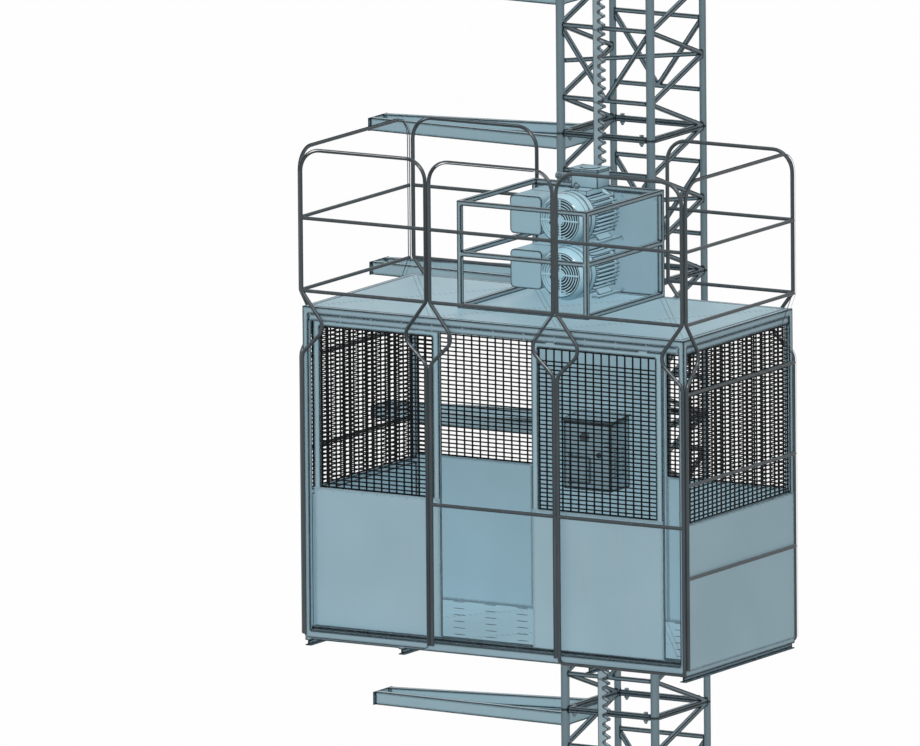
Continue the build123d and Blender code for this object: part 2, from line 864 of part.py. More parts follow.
with BuildPart() as drive_guard:
    half = guard_tube / 2
    for x in (guard_left, guard_right):
        for y in (guard_front, guard_rear):
            block((x - half, x + half), (y - half, y + half), (roof_top, guard_top + half))
        for z in (guard_bottom, guard_middle, guard_top):
            block((x - half, x + half), (guard_front + half, guard_rear - half), (z - half, z + half))
    inside = (guard_left + half, guard_right - half)
    for z in (guard_bottom, guard_middle, guard_top):
        block(inside, (guard_front - half, guard_front + half), (z - half, z + half))
    block(inside, (guard_rear - half, guard_rear + half), (guard_top - half, guard_top + half))
save(drive_guard.part, "drive_guard")

# The drive plate between the rear posts of the guard, with a bearing housing for each pinion

with BuildPart() as drive_plate:
    block((plate_left, plate_right), (plate_front_y, plate_rear_y), (plate_bottom, plate_top))
    for z in drive_levels:
        housing_x = (drive_axis_x - housing_half, drive_axis_x + housing_half)
        block(housing_x, (plate_rear_y, housing_end_y), (z - housing_half, z + housing_half))
    for z in drive_levels:
        rod(
            (drive_axis_x, plate_front_y, z),
            (drive_axis_x, housing_end_y, z),
            pinion_shaft_radius + shaft_clearance,
            mode=Mode.SUBTRACT,
        )
save(drive_plate.part, "drive_plate")


def pinion_outline(centre_z):
    """The points of an involute pinion in mesh with the rack at its place on the mast."""
    base_radius = pitch_radius * cos(radians(pressure_angle))
    tip_radius = pitch_radius + addendum
    root_radius = pitch_radius - dedendum
    # The gap of the rack nearest to the axle, seen as an angle up from the -X direction
    gap_z = round(centre_z / tooth_pitch) * tooth_pitch
    first = pi - (gap_z - centre_z) / pitch_radius
    half_at_pitch = half_tooth / pitch_radius
    involute_at_pitch = tan(radians(pressure_angle)) - radians(pressure_angle)
    flank = [(root_radius, half_at_pitch + involute_at_pitch)]
    for step in range(flank_steps + 1):
        radius = base_radius + (tip_radius - base_radius) * step / flank_steps
        slope = acos(base_radius / radius)
        flank.append((radius, half_at_pitch + involute_at_pitch - (tan(slope) - slope)))
    points = []
    for tooth in range(pinion_teeth):
        middle = first + 2 * pi * tooth / pinion_teeth
        for radius, half_angle in flank:
            points.append((radius * cos(middle - half_angle), radius * sin(middle - half_angle)))
        for radius, half_angle in reversed(flank):
            points.append((radius * cos(middle + half_angle), radius * sin(middle + half_angle)))
    return points


for place, z in zip(("lower", "upper"), drive_levels):
    with BuildPart() as pinion:
        face = Plane(origin=(drive_axis_x, rack_back_y, z), x_dir=(1, 0, 0), z_dir=(0, -1, 0))
        with BuildSketch(face) as outline:
            with BuildLine():
                Polyline(*pinion_outline(z), close=True)
            make_face()
        extrude(outline.sketch, amount=rack_thickness)
        rod(
            (drive_axis_x, pinion_front_y, z),
            (drive_axis_x, plate_front_y + shaft_end_gap, z),
            pinion_shaft_radius,
        )
    save(pinion.part, f"drive_pinion_{place}")

# The motors: a finned body on a flange, with two sloped feet

body_rear_y = plate_front_y - flange_thickness


def motor_body(z):
    """A motor body with level fins on both sides, a pad on top and two feet that slope outwards."""
    fan_shaft_bore = fan_shaft_radius + shaft_clearance
    bore_end_y = fan_shaft_rear_y + shaft_end_gap
    with BuildPart() as body:
        with BuildSketch(Plane.XZ.offset(-body_rear_y)) as section:
            with Locations((drive_axis_x, z)):
                RegularPolygon(motor_radius, 8, major_radius=False, rotation=22.5)
                with GridLocations(1, fin_pitch, 1, fin_count):
                    Rectangle(2 * fin_reach, fin_thickness)
            with Locations((drive_axis_x, z + pad_top / 2)):
                Rectangle(2 * pad_half_width, pad_top)
            for side in (-1, 1):
                leg = [
                    (leg_top_x, -leg_top_drop),
                    (leg_top_x + foot_thickness, -leg_top_drop),
                    (foot_knee, foot_thickness - foot_drop),
                    (foot_reach, foot_thickness - foot_drop),
                    (foot_reach, -foot_drop),
                    (foot_knee - foot_thickness, -foot_drop),
                ]
                with BuildLine():
                    Polyline(*[(drive_axis_x + side * x, z + drop) for x, drop in leg], close=True)
                make_face()
        extrude(section.sketch, amount=body_rear_y - motor_front_y)
        block(
            (drive_axis_x - flange_half, drive_axis_x + flange_half),
            (body_rear_y, plate_front_y),
            (z - flange_half, z + flange_half),
        )
        rod(
            (drive_axis_x, motor_front_y, z),
            (drive_axis_x, bore_end_y, z),
            fan_shaft_bore,
            mode=Mode.SUBTRACT,
        )
    return body.part


def slot_outline(low, high):
    """An arc slot between two radii, drawn with short chords."""
    angles = [radians(-slot_span / 2 + slot_span * step / slot_steps) for step in range(slot_steps + 1)]
    outside = [(high * cos(angle), high * sin(angle)) for angle in angles]
    inside = [(low * cos(angle), low * sin(angle)) for angle in reversed(angles)]
    return outside + inside


def fan_cowl(z):
    """A cowl over the fan: a skirt, two steps that narrow and a slotted end."""
    outer = (
        (motor_front_y, cowl_radius),
        (cowl_skirt_end_y, cowl_radius),
        (cowl_shoulder_y, cowl_shoulder_radius),
        (grille_y, grille_radius),
    )
    inner = [(y, radius - cowl_wall) for y, radius in outer[:-1]]
    inner.append((grille_y + grille_thickness, grille_radius - cowl_wall))
    with BuildPart() as cowl:
        for stations, mode in ((outer, Mode.ADD), (inner, Mode.SUBTRACT)):
            for (y0, start_radius), (y1, end_radius) in zip(stations, stations[1:]):
                start, end = (drive_axis_x, y0, z), (drive_axis_x, y1, z)
                frustum(start, end, start_radius, end_radius, cowl_sides, mode=mode)
        with BuildSketch(Plane.XZ.offset(-grille_y - grille_thickness)) as slots:
            with Locations((drive_axis_x, z)):
                for low, high in grille_slots:
                    with PolarLocations(0, grille_slots_round, start_angle=45):
                        with BuildLine():
                            Polyline(*slot_outline(low, high), close=True)
                        make_face()
        extrude(slots.sketch, amount=grille_thickness, mode=Mode.SUBTRACT)
    return cowl.part


def motor_fan(z):
    """A fan of flat blades on its shaft, which runs in the front of the motor body."""
    with BuildPart() as fan:
        rod((drive_axis_x, fan_shaft_rear_y, z), (drive_axis_x, fan_front_y, z), fan_shaft_radius)
        with BuildSketch(Plane.XZ.offset(-fan_rear_y)) as blades:
            with Locations((drive_axis_x, z)):
                RegularPolygon(fan_hub_radius, 2 * fan_blades)
                with PolarLocations(0, fan_blades):
                    with Locations((fan_radius / 2, 0)):
                        Rectangle(fan_radius, fan_blade_thickness)
        extrude(blades.sketch, amount=fan_rear_y - fan_front_y)
    return fan.part


def gear_case(z):
    """A gear case beside the motor, its long edges rounded."""
    width = gear_case_right - gear_case_left
    with BuildPart() as case:
        with BuildSketch(Plane.XZ.offset(-plate_front_y)) as section:
            with Locations(((gear_case_left + gear_case_right) / 2, z)):
                RectangleRounded(width, gear_case_height, gear_case_edge)
        extrude(section.sketch, amount=plate_front_y - gear_case_front_y)
    return case.part


for place, z in zip(("lower", "upper"), drive_levels):
    save(motor_body(z), f"motor_body_{place}")
    save(fan_cowl(z), f"fan_cowl_{place}")
    save(motor_fan(z), f"motor_fan_{place}")
    save(gear_case(z), f"gear_case_{place}")

# The terminal box on the upper motor, and its lid

box_bottom = drive_levels[1] + pad_top
with BuildPart() as terminal_box:
    block((box_left, box_right), (box_front_y, box_rear_y), (box_bottom, box_top))
save(terminal_box.part, "terminal_box")

with BuildPart() as terminal_box_lid:
    block(
        (box_left - lid_overhang, box_right + lid_overhang),
        (box_front_y - lid_overhang, box_rear_y + lid_overhang),
        (box_top, box_top + lid_thickness),
    )
save(terminal_box_lid.part, "terminal_box_lid")

# The control cabinet on the centre panel, with its hinged door, stop button and selector knob

cabinet_rear_y = wall_y - sheet_thickness
hinge_x = cabinet_door_left - hinge_radius
hinge_y = cabinet_front_y - hinge_radius - leaf_gap
lug_height = 12

with BuildPart() as control_cabinet:
    with BuildSketch(Plane.YZ.offset(cabinet_left)) as side_view:
        with BuildLine():
            Polyline(
                (cabinet_front_y, cabinet_bottom),
                (cabinet_front_y, cabinet_top),
                (cabinet_rear_y, cabinet_top + cabinet_cover_rise),
                (cabinet_rear_y, cabinet_bottom),
                close=True,
            )
        make_face()
    extrude(side_view.sketch, amount=cabinet_right - cabinet_left)
    with BuildSketch(Plane.YZ.offset(cabinet_left - cabinet_cover_overhang)) as cover_view:
        with BuildLine():
            Polyline(
                (cabinet_front_y - cabinet_cover_overhang, cabinet_top),
                (cabinet_front_y - cabinet_cover_overhang, cabinet_top + cabinet_cover),
                (cabinet_rear_y, cabinet_top + cabinet_cover_rise + cabinet_cover),
                (cabinet_rear_y, cabinet_top + cabinet_cover_rise),
                (cabinet_front_y, cabinet_top),
                close=True,
            )
        make_face()
    extrude(cover_view.sketch, amount=cabinet_right - cabinet_left + 2 * cabinet_cover_overhang)
    # The inside, and the opening behind the door
    block(
        (cabinet_left + cabinet_wall, cabinet_right - cabinet_wall),
        (cabinet_front_y + cabinet_wall, cabinet_rear_y - cabinet_wall),
        (cabinet_bottom + cabinet_wall, cabinet_top - cabinet_wall),
        mode=Mode.SUBTRACT,
    )
    block(
        (cabinet_door_left + cabinet_door_lap, cabinet_door_right - cabinet_door_lap),
        (cabinet_front_y, cabinet_front_y + cabinet_wall),
        (cabinet_door_bottom + cabinet_door_lap, cabinet_door_top - cabinet_door_lap),
        mode=Mode.SUBTRACT,
    )
    # Hinge lugs above and below the door
    for low in (cabinet_door_bottom - lug_height, cabinet_door_top):
        gap = -leaf_gap if low < cabinet_door_top else leaf_gap
        block(
            (hinge_x - hinge_radius, hinge_x + hinge_radius),
            (hinge_y - hinge_radius, cabinet_front_y),
            (low + gap, low + lug_height + gap),
        )
    # A square hole for the button's stem and a bore for the knob's
    stem_end = cabinet_front_y + stem_depth + shaft_end_gap
    hole = button_stem / 2 + shaft_clearance
    block(
        (button_x - hole, button_x + hole),
        (cabinet_front_y, stem_end),
        (button_z - hole, button_z + hole),
        mode=Mode.SUBTRACT,
    )
    rod(
        (knob_x, cabinet_front_y, knob_z),
        (knob_x, stem_end, knob_z),
        knob_stem_radius + shaft_clearance,
        mode=Mode.SUBTRACT,
    )
save(control_cabinet.part, "control_cabinet")

with BuildPart() as cabinet_door:
    block(
        (hinge_x, cabinet_door_right),
        (hinge_y - cabinet_door_thickness / 2, hinge_y + cabinet_door_thickness / 2),
        (cabinet_door_bottom, cabinet_door_top),
    )
    rod((hinge_x, hinge_y, cabinet_door_bottom), (hinge_x, hinge_y, cabinet_door_top), hinge_radius)
save(cabinet_door.part, "cabinet_door")

with BuildPart() as stop_button:
    head_rear_y = cabinet_front_y - button_travel - leaf_gap
    with BuildSketch(Plane.XZ.offset(-head_rear_y)) as head:
        with Locations((button_x, button_z)):
            RegularPolygon(button_radius, knob_sides)
    extrude(head.sketch, amount=button_height)
    stem_end_y = cabinet_front_y + stem_depth - button_travel
    stem = button_stem / 2
    block(
        (button_x - stem, button_x + stem),
        (head_rear_y, stem_end_y),
        (button_z - stem, button_z + stem),
    )
save(stop_button.part, "stop_button")

with BuildPart() as selector_knob:
    knob_rear_y = cabinet_front_y - leaf_gap
    with BuildSketch(Plane.XZ.offset(-knob_rear_y)) as skirt:
        with Locations((knob_x, knob_z)):
            RegularPolygon(knob_radius, knob_sides)
    extrude(skirt.sketch, amount=knob_height)
    rod((knob_x, knob_rear_y, knob_z), (knob_x, cabinet_front_y + stem_depth, knob_z), knob_stem_radius)
    grip = knob_radius - knob_grip / 2
    block(
        (knob_x - knob_grip / 2, knob_x + knob_grip / 2),
        (knob_rear_y - knob_height - knob_grip, knob_rear_y - knob_height),
        (knob_z - grip, knob_z + grip),
    )
save(selector_knob.part, "selector_knob")
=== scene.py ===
# %% [markdown]
# # A material hoist
# A material hoist carries goods up the outside of a building. Its cage climbs a lattice mast on a rack, with
# the drive on the roof inside a guard rail. The CAD frame gives every size and place, and this lesson adds
# what CAD leaves coarse: smooth bent tubes, wire nets, motor castings, bolts, and the paint on all of it.

# %% The frame
import json
import math

import bmesh
import bpy
from mathutils import Matrix, Vector


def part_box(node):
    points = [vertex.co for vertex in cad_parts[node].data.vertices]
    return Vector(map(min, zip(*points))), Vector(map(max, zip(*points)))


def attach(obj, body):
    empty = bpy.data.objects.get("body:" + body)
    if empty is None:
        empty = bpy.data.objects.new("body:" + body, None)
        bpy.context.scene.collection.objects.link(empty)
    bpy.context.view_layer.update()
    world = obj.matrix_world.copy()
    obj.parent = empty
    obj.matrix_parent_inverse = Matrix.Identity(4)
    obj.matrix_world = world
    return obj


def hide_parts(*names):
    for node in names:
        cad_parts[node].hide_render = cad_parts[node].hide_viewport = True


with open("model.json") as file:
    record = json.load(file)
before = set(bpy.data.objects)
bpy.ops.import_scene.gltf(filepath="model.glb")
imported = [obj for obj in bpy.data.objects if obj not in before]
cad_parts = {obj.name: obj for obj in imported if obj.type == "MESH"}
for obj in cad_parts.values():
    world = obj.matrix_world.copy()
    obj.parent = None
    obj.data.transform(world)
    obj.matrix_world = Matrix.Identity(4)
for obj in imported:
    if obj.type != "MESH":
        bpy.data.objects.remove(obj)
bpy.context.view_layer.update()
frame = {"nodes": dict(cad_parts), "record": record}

# %% [markdown]
# ## The camera
# The picture is almost free of perspective, so a very long lens far away gives the same view. The camera's
# direction and roll come first, and then its place, found from the point at the middle of the picture.

# %% The camera
turn, tilt, roll = math.radians(30.657), math.radians(10.019), math.radians(-0.476)
right = Vector((math.cos(turn), math.sin(turn), 0))
forward = Vector((-math.sin(turn) * math.cos(tilt), math.cos(turn) * math.cos(tilt), -math.sin(tilt)))
up = right.cross(forward)
screen_right = right * math.cos(roll) + up * math.sin(roll)
screen_up = up * math.cos(roll) - right * math.sin(roll)
PIXELS_PER_METRE = 147.016
FRAME_WIDTH, FRAME_HEIGHT = 920, 746
FOOT_PIXEL = (638.752, 852.048)
CAMERA_DISTANCE = 225

middle = (
    screen_right * ((FRAME_WIDTH / 2 - FOOT_PIXEL[0]) / PIXELS_PER_METRE)
    + screen_up * ((FOOT_PIXEL[1] - FRAME_HEIGHT / 2) / PIXELS_PER_METRE)
    + forward * Vector((0, -1.4, 3.2)).dot(forward)
)
camera_data = bpy.data.cameras.new("camera")
camera_data.sensor_width = 36
camera_data.lens = 36 * CAMERA_DISTANCE * PIXELS_PER_METRE / FRAME_WIDTH
camera_data.clip_start, camera_data.clip_end = 50, 600
camera = bpy.data.objects.new("camera", camera_data)
bpy.context.scene.collection.objects.link(camera)
axes = Matrix((screen_right, screen_up, -forward)).transposed()
camera.matrix_world = Matrix.Translation(middle - forward * CAMERA_DISTANCE) @ axes.to_4x4()
bpy.context.scene.camera = camera
print("lens", round(camera_data.lens), "mm")

# %% [markdown]
# ## Effects that the finishes share
# Paint on site equipment is never one colour. It is mottled, it collects dust that runs down in streaks, and
# its outer edges are worn down to dark primer. Two node groups make this once: one for the edges, which
# compares the face's direction with a rounded copy of it and so darkens inner corners and creases as well,
# where the dark line is painted shade, and one for the mottling, streaks and fine orange peel.


# %% Node helpers
def new_group(name, inputs, outputs):
    group = bpy.data.node_groups.new(name, "ShaderNodeTree")
    for socket, kind, value in inputs:
        made = group.interface.new_socket(name=socket, in_out="INPUT", socket_type=kind)
        made.default_value = value
    for socket, kind in outputs:
        group.interface.new_socket(name=socket, in_out="OUTPUT", socket_type=kind)
    return group, group.nodes.new("NodeGroupInput"), group.nodes.new("NodeGroupOutput")


def math_node(tree, operation, a, b=0.5, clamp=False):
    node = tree.nodes.new("ShaderNodeMath")
    node.operation = operation
    node.use_clamp = clamp
    for socket, value in zip(node.inputs, (a, b)):
        if isinstance(value, (int, float)):
            socket.default_value = value
        else:
            tree.links.new(value, socket)
    return node.outputs[0]


def noise_node(tree, vector, scale, detail=3.0, stretch=(1, 1, 1)):
    mapping = tree.nodes.new("ShaderNodeMapping")
    mapping.inputs["Scale"].default_value = stretch
    noise = tree.nodes.new("ShaderNodeTexNoise")
    noise.inputs["Detail"].default_value = detail
    tree.links.new(vector, mapping.inputs["Vector"])
    tree.links.new(mapping.outputs[0], noise.inputs["Vector"])
    if isinstance(scale, (int, float)):
        noise.inputs["Scale"].default_value = scale
    else:
        tree.links.new(scale, noise.inputs["Scale"])
    return noise.outputs["Fac"]


def mix_colour(tree, factor, a, b):
    node = tree.nodes.new("ShaderNodeMix")
    node.data_type = "RGBA"
    for socket, value in ((node.inputs[0], factor), (node.inputs[6], a), (node.inputs[7], b)):
        if isinstance(value, (int, float, tuple)):
            socket.default_value = value
        else:
            tree.links.new(value, socket)
    return node.outputs[2]


# %% The edge group
edge_group, given, told = new_group(
    "worn_edges_and_crease_shade",
    [("Width", "NodeSocketFloat", 0.01), ("Roughness", "NodeSocketFloat", 0.4)],
    [("Mask", "NodeSocketFloat")],
)
bevel = edge_group.nodes.new("ShaderNodeBevel")
bevel.samples = 6
edge_group.links.new(given.outputs["Width"], bevel.inputs["Radius"])
surface = edge_group.nodes.new("ShaderNodeNewGeometry")
product = edge_group.nodes.new("ShaderNodeVectorMath")
product.operation = "DOT_PRODUCT"
edge_group.links.new(bevel.outputs[0], product.inputs[0])
edge_group.links.new(surface.outputs["Normal"], product.inputs[1])
# The mask is dark where the rounded copy bends away, at outer edges and inner corners alike: on outer edges it is
# worn paint, in inner corners and creases it is painted shade.
bend = math_node(edge_group, "SUBTRACT", 1.0, product.outputs["Value"])
worn_edge_and_crease_shade = math_node(edge_group, "MULTIPLY", math_node(edge_group, "SUBTRACT", bend, 0.008), 45.0, True)
edge_group.links.new(worn_edge_and_crease_shade, told.inputs["Mask"])
print("edge group has", len(edge_group.nodes), "nodes")

# %% The paint group
paint_group, given, told = new_group(
    "site_paint",
    [
        ("Vector", "NodeSocketVector", (0, 0, 0)),
        ("Colour", "NodeSocketColor", (0.25, 0.37, 0.43, 1)),
        ("Edge Colour", "NodeSocketColor", (0.02, 0.025, 0.03, 1)),
        ("Edge", "NodeSocketFloat", 0.0),
        ("Dust", "NodeSocketFloat", 0.15),
        ("Roughness", "NodeSocketFloat", 0.45),
        ("Gloss", "NodeSocketFloat", 0.35),
    ],
    [
        ("Colour", "NodeSocketColor"),
        ("Roughness", "NodeSocketFloat"),
        ("Height", "NodeSocketFloat"),
        ("Gloss", "NodeSocketFloat"),
    ],
)
place = given.outputs["Vector"]
mottle = noise_node(paint_group, place, 1.7, 4)
streaks = noise_node(paint_group, place, 3.0, 5, (6, 6, 0.5))
peel = noise_node(paint_group, place, 260, 2)
chips = noise_node(paint_group, place, 34, 4)
shade = math_node(paint_group, "MULTIPLY", math_node(paint_group, "SUBTRACT", mottle, 0.5), 0.22)
streak = math_node(paint_group, "MULTIPLY", math_node(paint_group, "SUBTRACT", streaks, 0.52), 2.2, True)
dusty = math_node(paint_group, "MULTIPLY", streak, given.outputs["Dust"])
brighter = paint_group.nodes.new("ShaderNodeHueSaturation")
paint_group.links.new(given.outputs["Colour"], brighter.inputs["Color"])
paint_group.links.new(math_node(paint_group, "ADD", 1.0, shade), brighter.inputs["Value"])
with_dust = mix_colour(paint_group, dusty, brighter.outputs[0], (0.36, 0.38, 0.38, 1))
# The edge colour goes where the edge mask is: worn paint on outer edges, painted shade in inner corners and creases.
ragged = math_node(
    paint_group, "MULTIPLY", given.outputs["Edge"], math_node(paint_group, "ADD", chips, 0.85), True
)
finished = mix_colour(paint_group, ragged, with_dust, given.outputs["Edge Colour"])
rough = math_node(
    paint_group, "ADD", given.outputs["Roughness"], math_node(paint_group, "MULTIPLY", streak, 0.18)
)
paint_group.links.new(finished, told.inputs["Colour"])
paint_group.links.new(rough, told.inputs["Roughness"])
kept = math_node(paint_group, "SUBTRACT", 1.0, math_node(paint_group, "MULTIPLY", ragged, 0.93))
paint_group.links.new(
    math_node(paint_group, "MULTIPLY", given.outputs["Gloss"], kept), told.inputs["Gloss"]
)
paint_group.links.new(math_node(paint_group, "ADD", peel, ragged), told.inputs["Height"])
print("paint group has", len(paint_group.nodes), "nodes")

# %% [markdown]
# ## The finishes
# Each finish is a material of its own that feeds a Principled shader from the shared groups. The blue-grey
# paint changes a little from piece to piece, because the parts come from different workshops. The tubes are
# darker, the wire is almost black with galvanised highlights, and the rack and rollers are bare steel.


# %% Painted finishes
def linear(red, green, blue):
    """A colour written in 0 to 255 as the linear light that the shader expects."""
    values = [c / 255 for c in (red, green, blue)]
    return tuple(c / 12.92 if c <= 0.04045 else ((c + 0.055) / 1.055) ** 2.4 for c in values) + (1,)


INK = linear(9, 12, 14)


def painted(name, colour, roughness=0.42, edge=0.025, dust=0.15, bump=0.12, coat=0.0, gloss=0.35):
    material = bpy.data.materials.new(name)
    material.use_nodes = True
    tree = material.node_tree
    shader = tree.nodes["Principled BSDF"]
    shader.inputs["Metallic"].default_value = 0.0
    shader.inputs["Coat Weight"].default_value = coat
    coordinates = tree.nodes.new("ShaderNodeTexCoord")
    paint = tree.nodes.new("ShaderNodeGroup")
    paint.node_tree = paint_group
    tree.links.new(coordinates.outputs["Object"], paint.inputs["Vector"])
    paint.inputs["Colour"].default_value = colour
    paint.inputs["Edge Colour"].default_value = INK
    paint.inputs["Gloss"].default_value = gloss
    paint.inputs["Dust"].default_value = dust
    paint.inputs["Roughness"].default_value = roughness
    # The edge mask gives dark worn outer edges and painted shade in inner corners and creases.
    if edge:
        edges = tree.nodes.new("ShaderNodeGroup")
        edges.node_tree = edge_group
        edges.inputs["Width"].default_value = edge
        tree.links.new(edges.outputs["Mask"], paint.inputs["Edge"])
    bumps = tree.nodes.new("ShaderNodeBump")
    bumps.inputs["Strength"].default_value = bump
    bumps.inputs["Distance"].default_value = 0.0006
    tree.links.new(paint.outputs["Height"], bumps.inputs["Height"])
    tree.links.new(paint.outputs["Colour"], shader.inputs["Base Color"])
    tree.links.new(paint.outputs["Roughness"], shader.inputs["Roughness"])
    tree.links.new(paint.outputs["Gloss"], shader.inputs["Specular IOR Level"])
    tree.links.new(bumps.outputs[0], shader.inputs["Normal"])
    return material


finishes = {
    "mast_paint": painted("mast_paint", linear(96, 114, 122), edge=0.020),
    "arm_paint": painted("arm_paint", linear(134, 160, 170), edge=0.022),
    "frame_paint": painted("frame_paint", linear(130, 155, 166)),
    "sheet_paint": painted("sheet_paint", linear(138, 165, 176), dust=0.22),
    "roof_paint": painted("roof_paint", linear(140, 168, 179), dust=0.12),
    "tube_paint": painted("tube_paint", linear(50, 58, 62), roughness=0.34, edge=0.0),
    "mesh_paint": painted("mesh_paint", linear(10, 12, 13), roughness=0.5, edge=0.0, dust=0.02, gloss=0.08),
    "guard_paint": painted("guard_paint", linear(124, 144, 152), roughness=0.35, edge=0.022),
    "drive_paint": painted("drive_paint", linear(138, 166, 177), roughness=0.36, edge=0.020, dust=0.08),
    "cowl_paint": painted(
        "cowl_paint", linear(148, 180, 192), roughness=0.22, edge=0.014, dust=0.03, bump=0.04, coat=0.5
    ),
    "cabinet_paint": painted("cabinet_paint", linear(112, 134, 144), roughness=0.5, edge=0.026),
    "cast_paint": painted("cast_paint", linear(136, 163, 174), roughness=0.36, edge=0.011, dust=0.08),
    "grille_paint": painted("grille_paint", linear(150, 182, 194), roughness=0.3, edge=0.0, dust=0.02),
    "rivet_paint": painted("rivet_paint", linear(118, 142, 152), edge=0.0),
    "fan_plastic": painted("fan_plastic", linear(24, 28, 31), roughness=0.6, edge=0.0, dust=0.02),
    "knob_plastic": painted("knob_plastic", linear(58, 68, 74), roughness=0.25, edge=0.003, dust=0.0),
}
print(len(finishes), "painted finishes")

# %% [markdown]
# ### Bare steel
# The rack, pinions, rollers and bolts have no paint. Steel that a tool has turned or milled carries fine
# parallel marks and a film of grease, so its roughness and its bump come from a noise that is stretched
# along the cut, and a slow noise darkens it where the grease sits.


# %% Steel finishes
def bare_steel(name, colour, roughness, cut, edge=0.006):
    material = bpy.data.materials.new(name)
    material.use_nodes = True
    tree = material.node_tree
    shader = tree.nodes["Principled BSDF"]
    shader.inputs["Metallic"].default_value = 0.55
    place = tree.nodes.new("ShaderNodeTexCoord").outputs["Object"]
    marks = noise_node(tree, place, 60, 3, cut)
    grease = noise_node(tree, place, 6, 4)
    film = math_node(tree, "MULTIPLY", math_node(tree, "SUBTRACT", grease, 0.45), 2.4, True)
    edges = tree.nodes.new("ShaderNodeGroup")
    edges.node_tree = edge_group
    edges.inputs["Width"].default_value = edge
    greasy = mix_colour(tree, math_node(tree, "MULTIPLY", film, 0.45), colour, linear(60, 66, 68))
    # The edge mask darkens the steel's outer edges and puts painted shade into its inner corners and creases.
    tree.links.new(mix_colour(tree, edges.outputs["Mask"], greasy, INK), shader.inputs["Base Color"])
    rough = math_node(tree, "ADD", math_node(tree, "MULTIPLY", marks, 0.3), roughness - 0.15)
    tree.links.new(rough, shader.inputs["Roughness"])
    bumps = tree.nodes.new("ShaderNodeBump")
    bumps.inputs["Strength"].default_value = 0.15
    bumps.inputs["Distance"].default_value = 0.0003
    tree.links.new(marks, bumps.inputs["Height"])
    tree.links.new(bumps.outputs[0], shader.inputs["Normal"])
    return material


finishes["rack_steel"] = bare_steel("rack_steel", linear(140, 158, 166), 0.42, (1, 1, 8), edge=0.014)
finishes["roller_steel"] = bare_steel("roller_steel", linear(128, 142, 149), 0.36, (8, 8, 1))
finishes["bolt_steel"] = bare_steel("bolt_steel", linear(112, 128, 136), 0.4, (3, 3, 3), edge=0.004)
for row in frame["record"]["subparts"]:
    materials = frame["nodes"][row["node"]].data.materials
    materials.clear()
    finish = {"drive_guard": "guard_paint", "tie_arms": "arm_paint"}.get(row["node"], row["material_slot"])
    materials.append(finishes[finish])
print(len(frame["nodes"]), "CAD nodes have their finish")


# %% [markdown]
# ## Helpers for new pieces
# A new piece starts as an empty bmesh, gets its shapes from operators, and becomes one object that rides on
# a body of the frame. These helpers keep that the same for every piece: a box, a rod, a turned shape that is
# spun from its profile, and a hexagon bolt head on a washer.

# %% Piece helpers
pieces = {}


def finish_piece(name, mesh, finish, body, smooth=False, stands_for=(), merge=True):
    if merge:
        bmesh.ops.remove_doubles(mesh, verts=mesh.verts, dist=0.00002)
    bmesh.ops.recalc_face_normals(mesh, faces=mesh.faces)
    data = bpy.data.meshes.new(name)
    mesh.to_mesh(data)
    mesh.free()
    data.materials.append(finishes[finish])
    if smooth:
        data.shade_smooth()
        data.set_sharp_from_angle(angle=math.radians(34))
    piece = bpy.data.objects.new(name, data)
    bpy.context.scene.collection.objects.link(piece)
    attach(piece, body)
    if stands_for:
        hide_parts(*stands_for)
    pieces[name] = piece
    print(name, len(data.polygons), "faces on", body)
    return piece


def box(mesh, low, high, bevel=0.0):
    low, high = Vector(low), Vector(high)
    place = Matrix.Translation((low + high) / 2) @ Matrix.Diagonal((*(high - low), 1))
    made = bmesh.ops.create_cube(mesh, size=1, matrix=place)
    if bevel:
        edges = list({edge for vert in made["verts"] for edge in vert.link_edges})
        bmesh.ops.bevel(
            mesh, geom=edges, offset=bevel, segments=2, profile=0.5, affect="EDGES", material=-1
        )


def rod(mesh, start, end, radius, sides=12, end_radius=None):
    start, end = Vector(start), Vector(end)
    along = end - start
    place = Matrix.Translation((start + end) / 2) @ along.to_track_quat("Z", "Y").to_matrix().to_4x4()
    bmesh.ops.create_cone(
        mesh,
        segments=sides,
        radius1=radius,
        radius2=radius if end_radius is None else end_radius,
        depth=along.length,
        cap_ends=True,
        matrix=place,
    )


def turned(mesh, profile, centre, axis, steps=48, closed=True):
    """Spins a profile of (distance along the axis, radius) round the axis."""
    centre, axis = Vector(centre), Vector(axis).normalized()
    side = axis.orthogonal().normalized()
    verts = [mesh.verts.new(centre + axis * along + side * radius) for along, radius in profile]
    pairs = list(zip(verts, verts[1:])) + ([(verts[-1], verts[0])] if closed else [])
    edges = [mesh.edges.new(pair) for pair in pairs]
    bmesh.ops.spin(
        mesh,
        geom=verts + edges,
        cent=centre,
        axis=axis,
        angle=math.tau,
        steps=steps,
        use_merge=True,
        use_duplicate=False,
    )


def bolt(mesh, foot, out, radius=0.012, height=0.008):
    """A hexagon head on a washer, with its foot on a face that looks along out."""
    foot, out = Vector(foot), Vector(out).normalized()
    rod(mesh, foot, foot + out * 0.0025, radius * 1.25, 12)
    rod(mesh, foot + out * 0.0025, foot + out * (0.0025 + height), radius, 6)


# %% [markdown]
# ## The guard loops
# Each loop is one tube that was bent on a former and welded closed. A circle is carried along the route:
# it is extruded over the straights and spun round the centre of each bend, as the bender does. The rails and
# wall bars are straight tubes that end inside the loop's sides.

# %% The tube bender
TUBE_RADIUS = 0.0133
TUBE_SIDES = 12


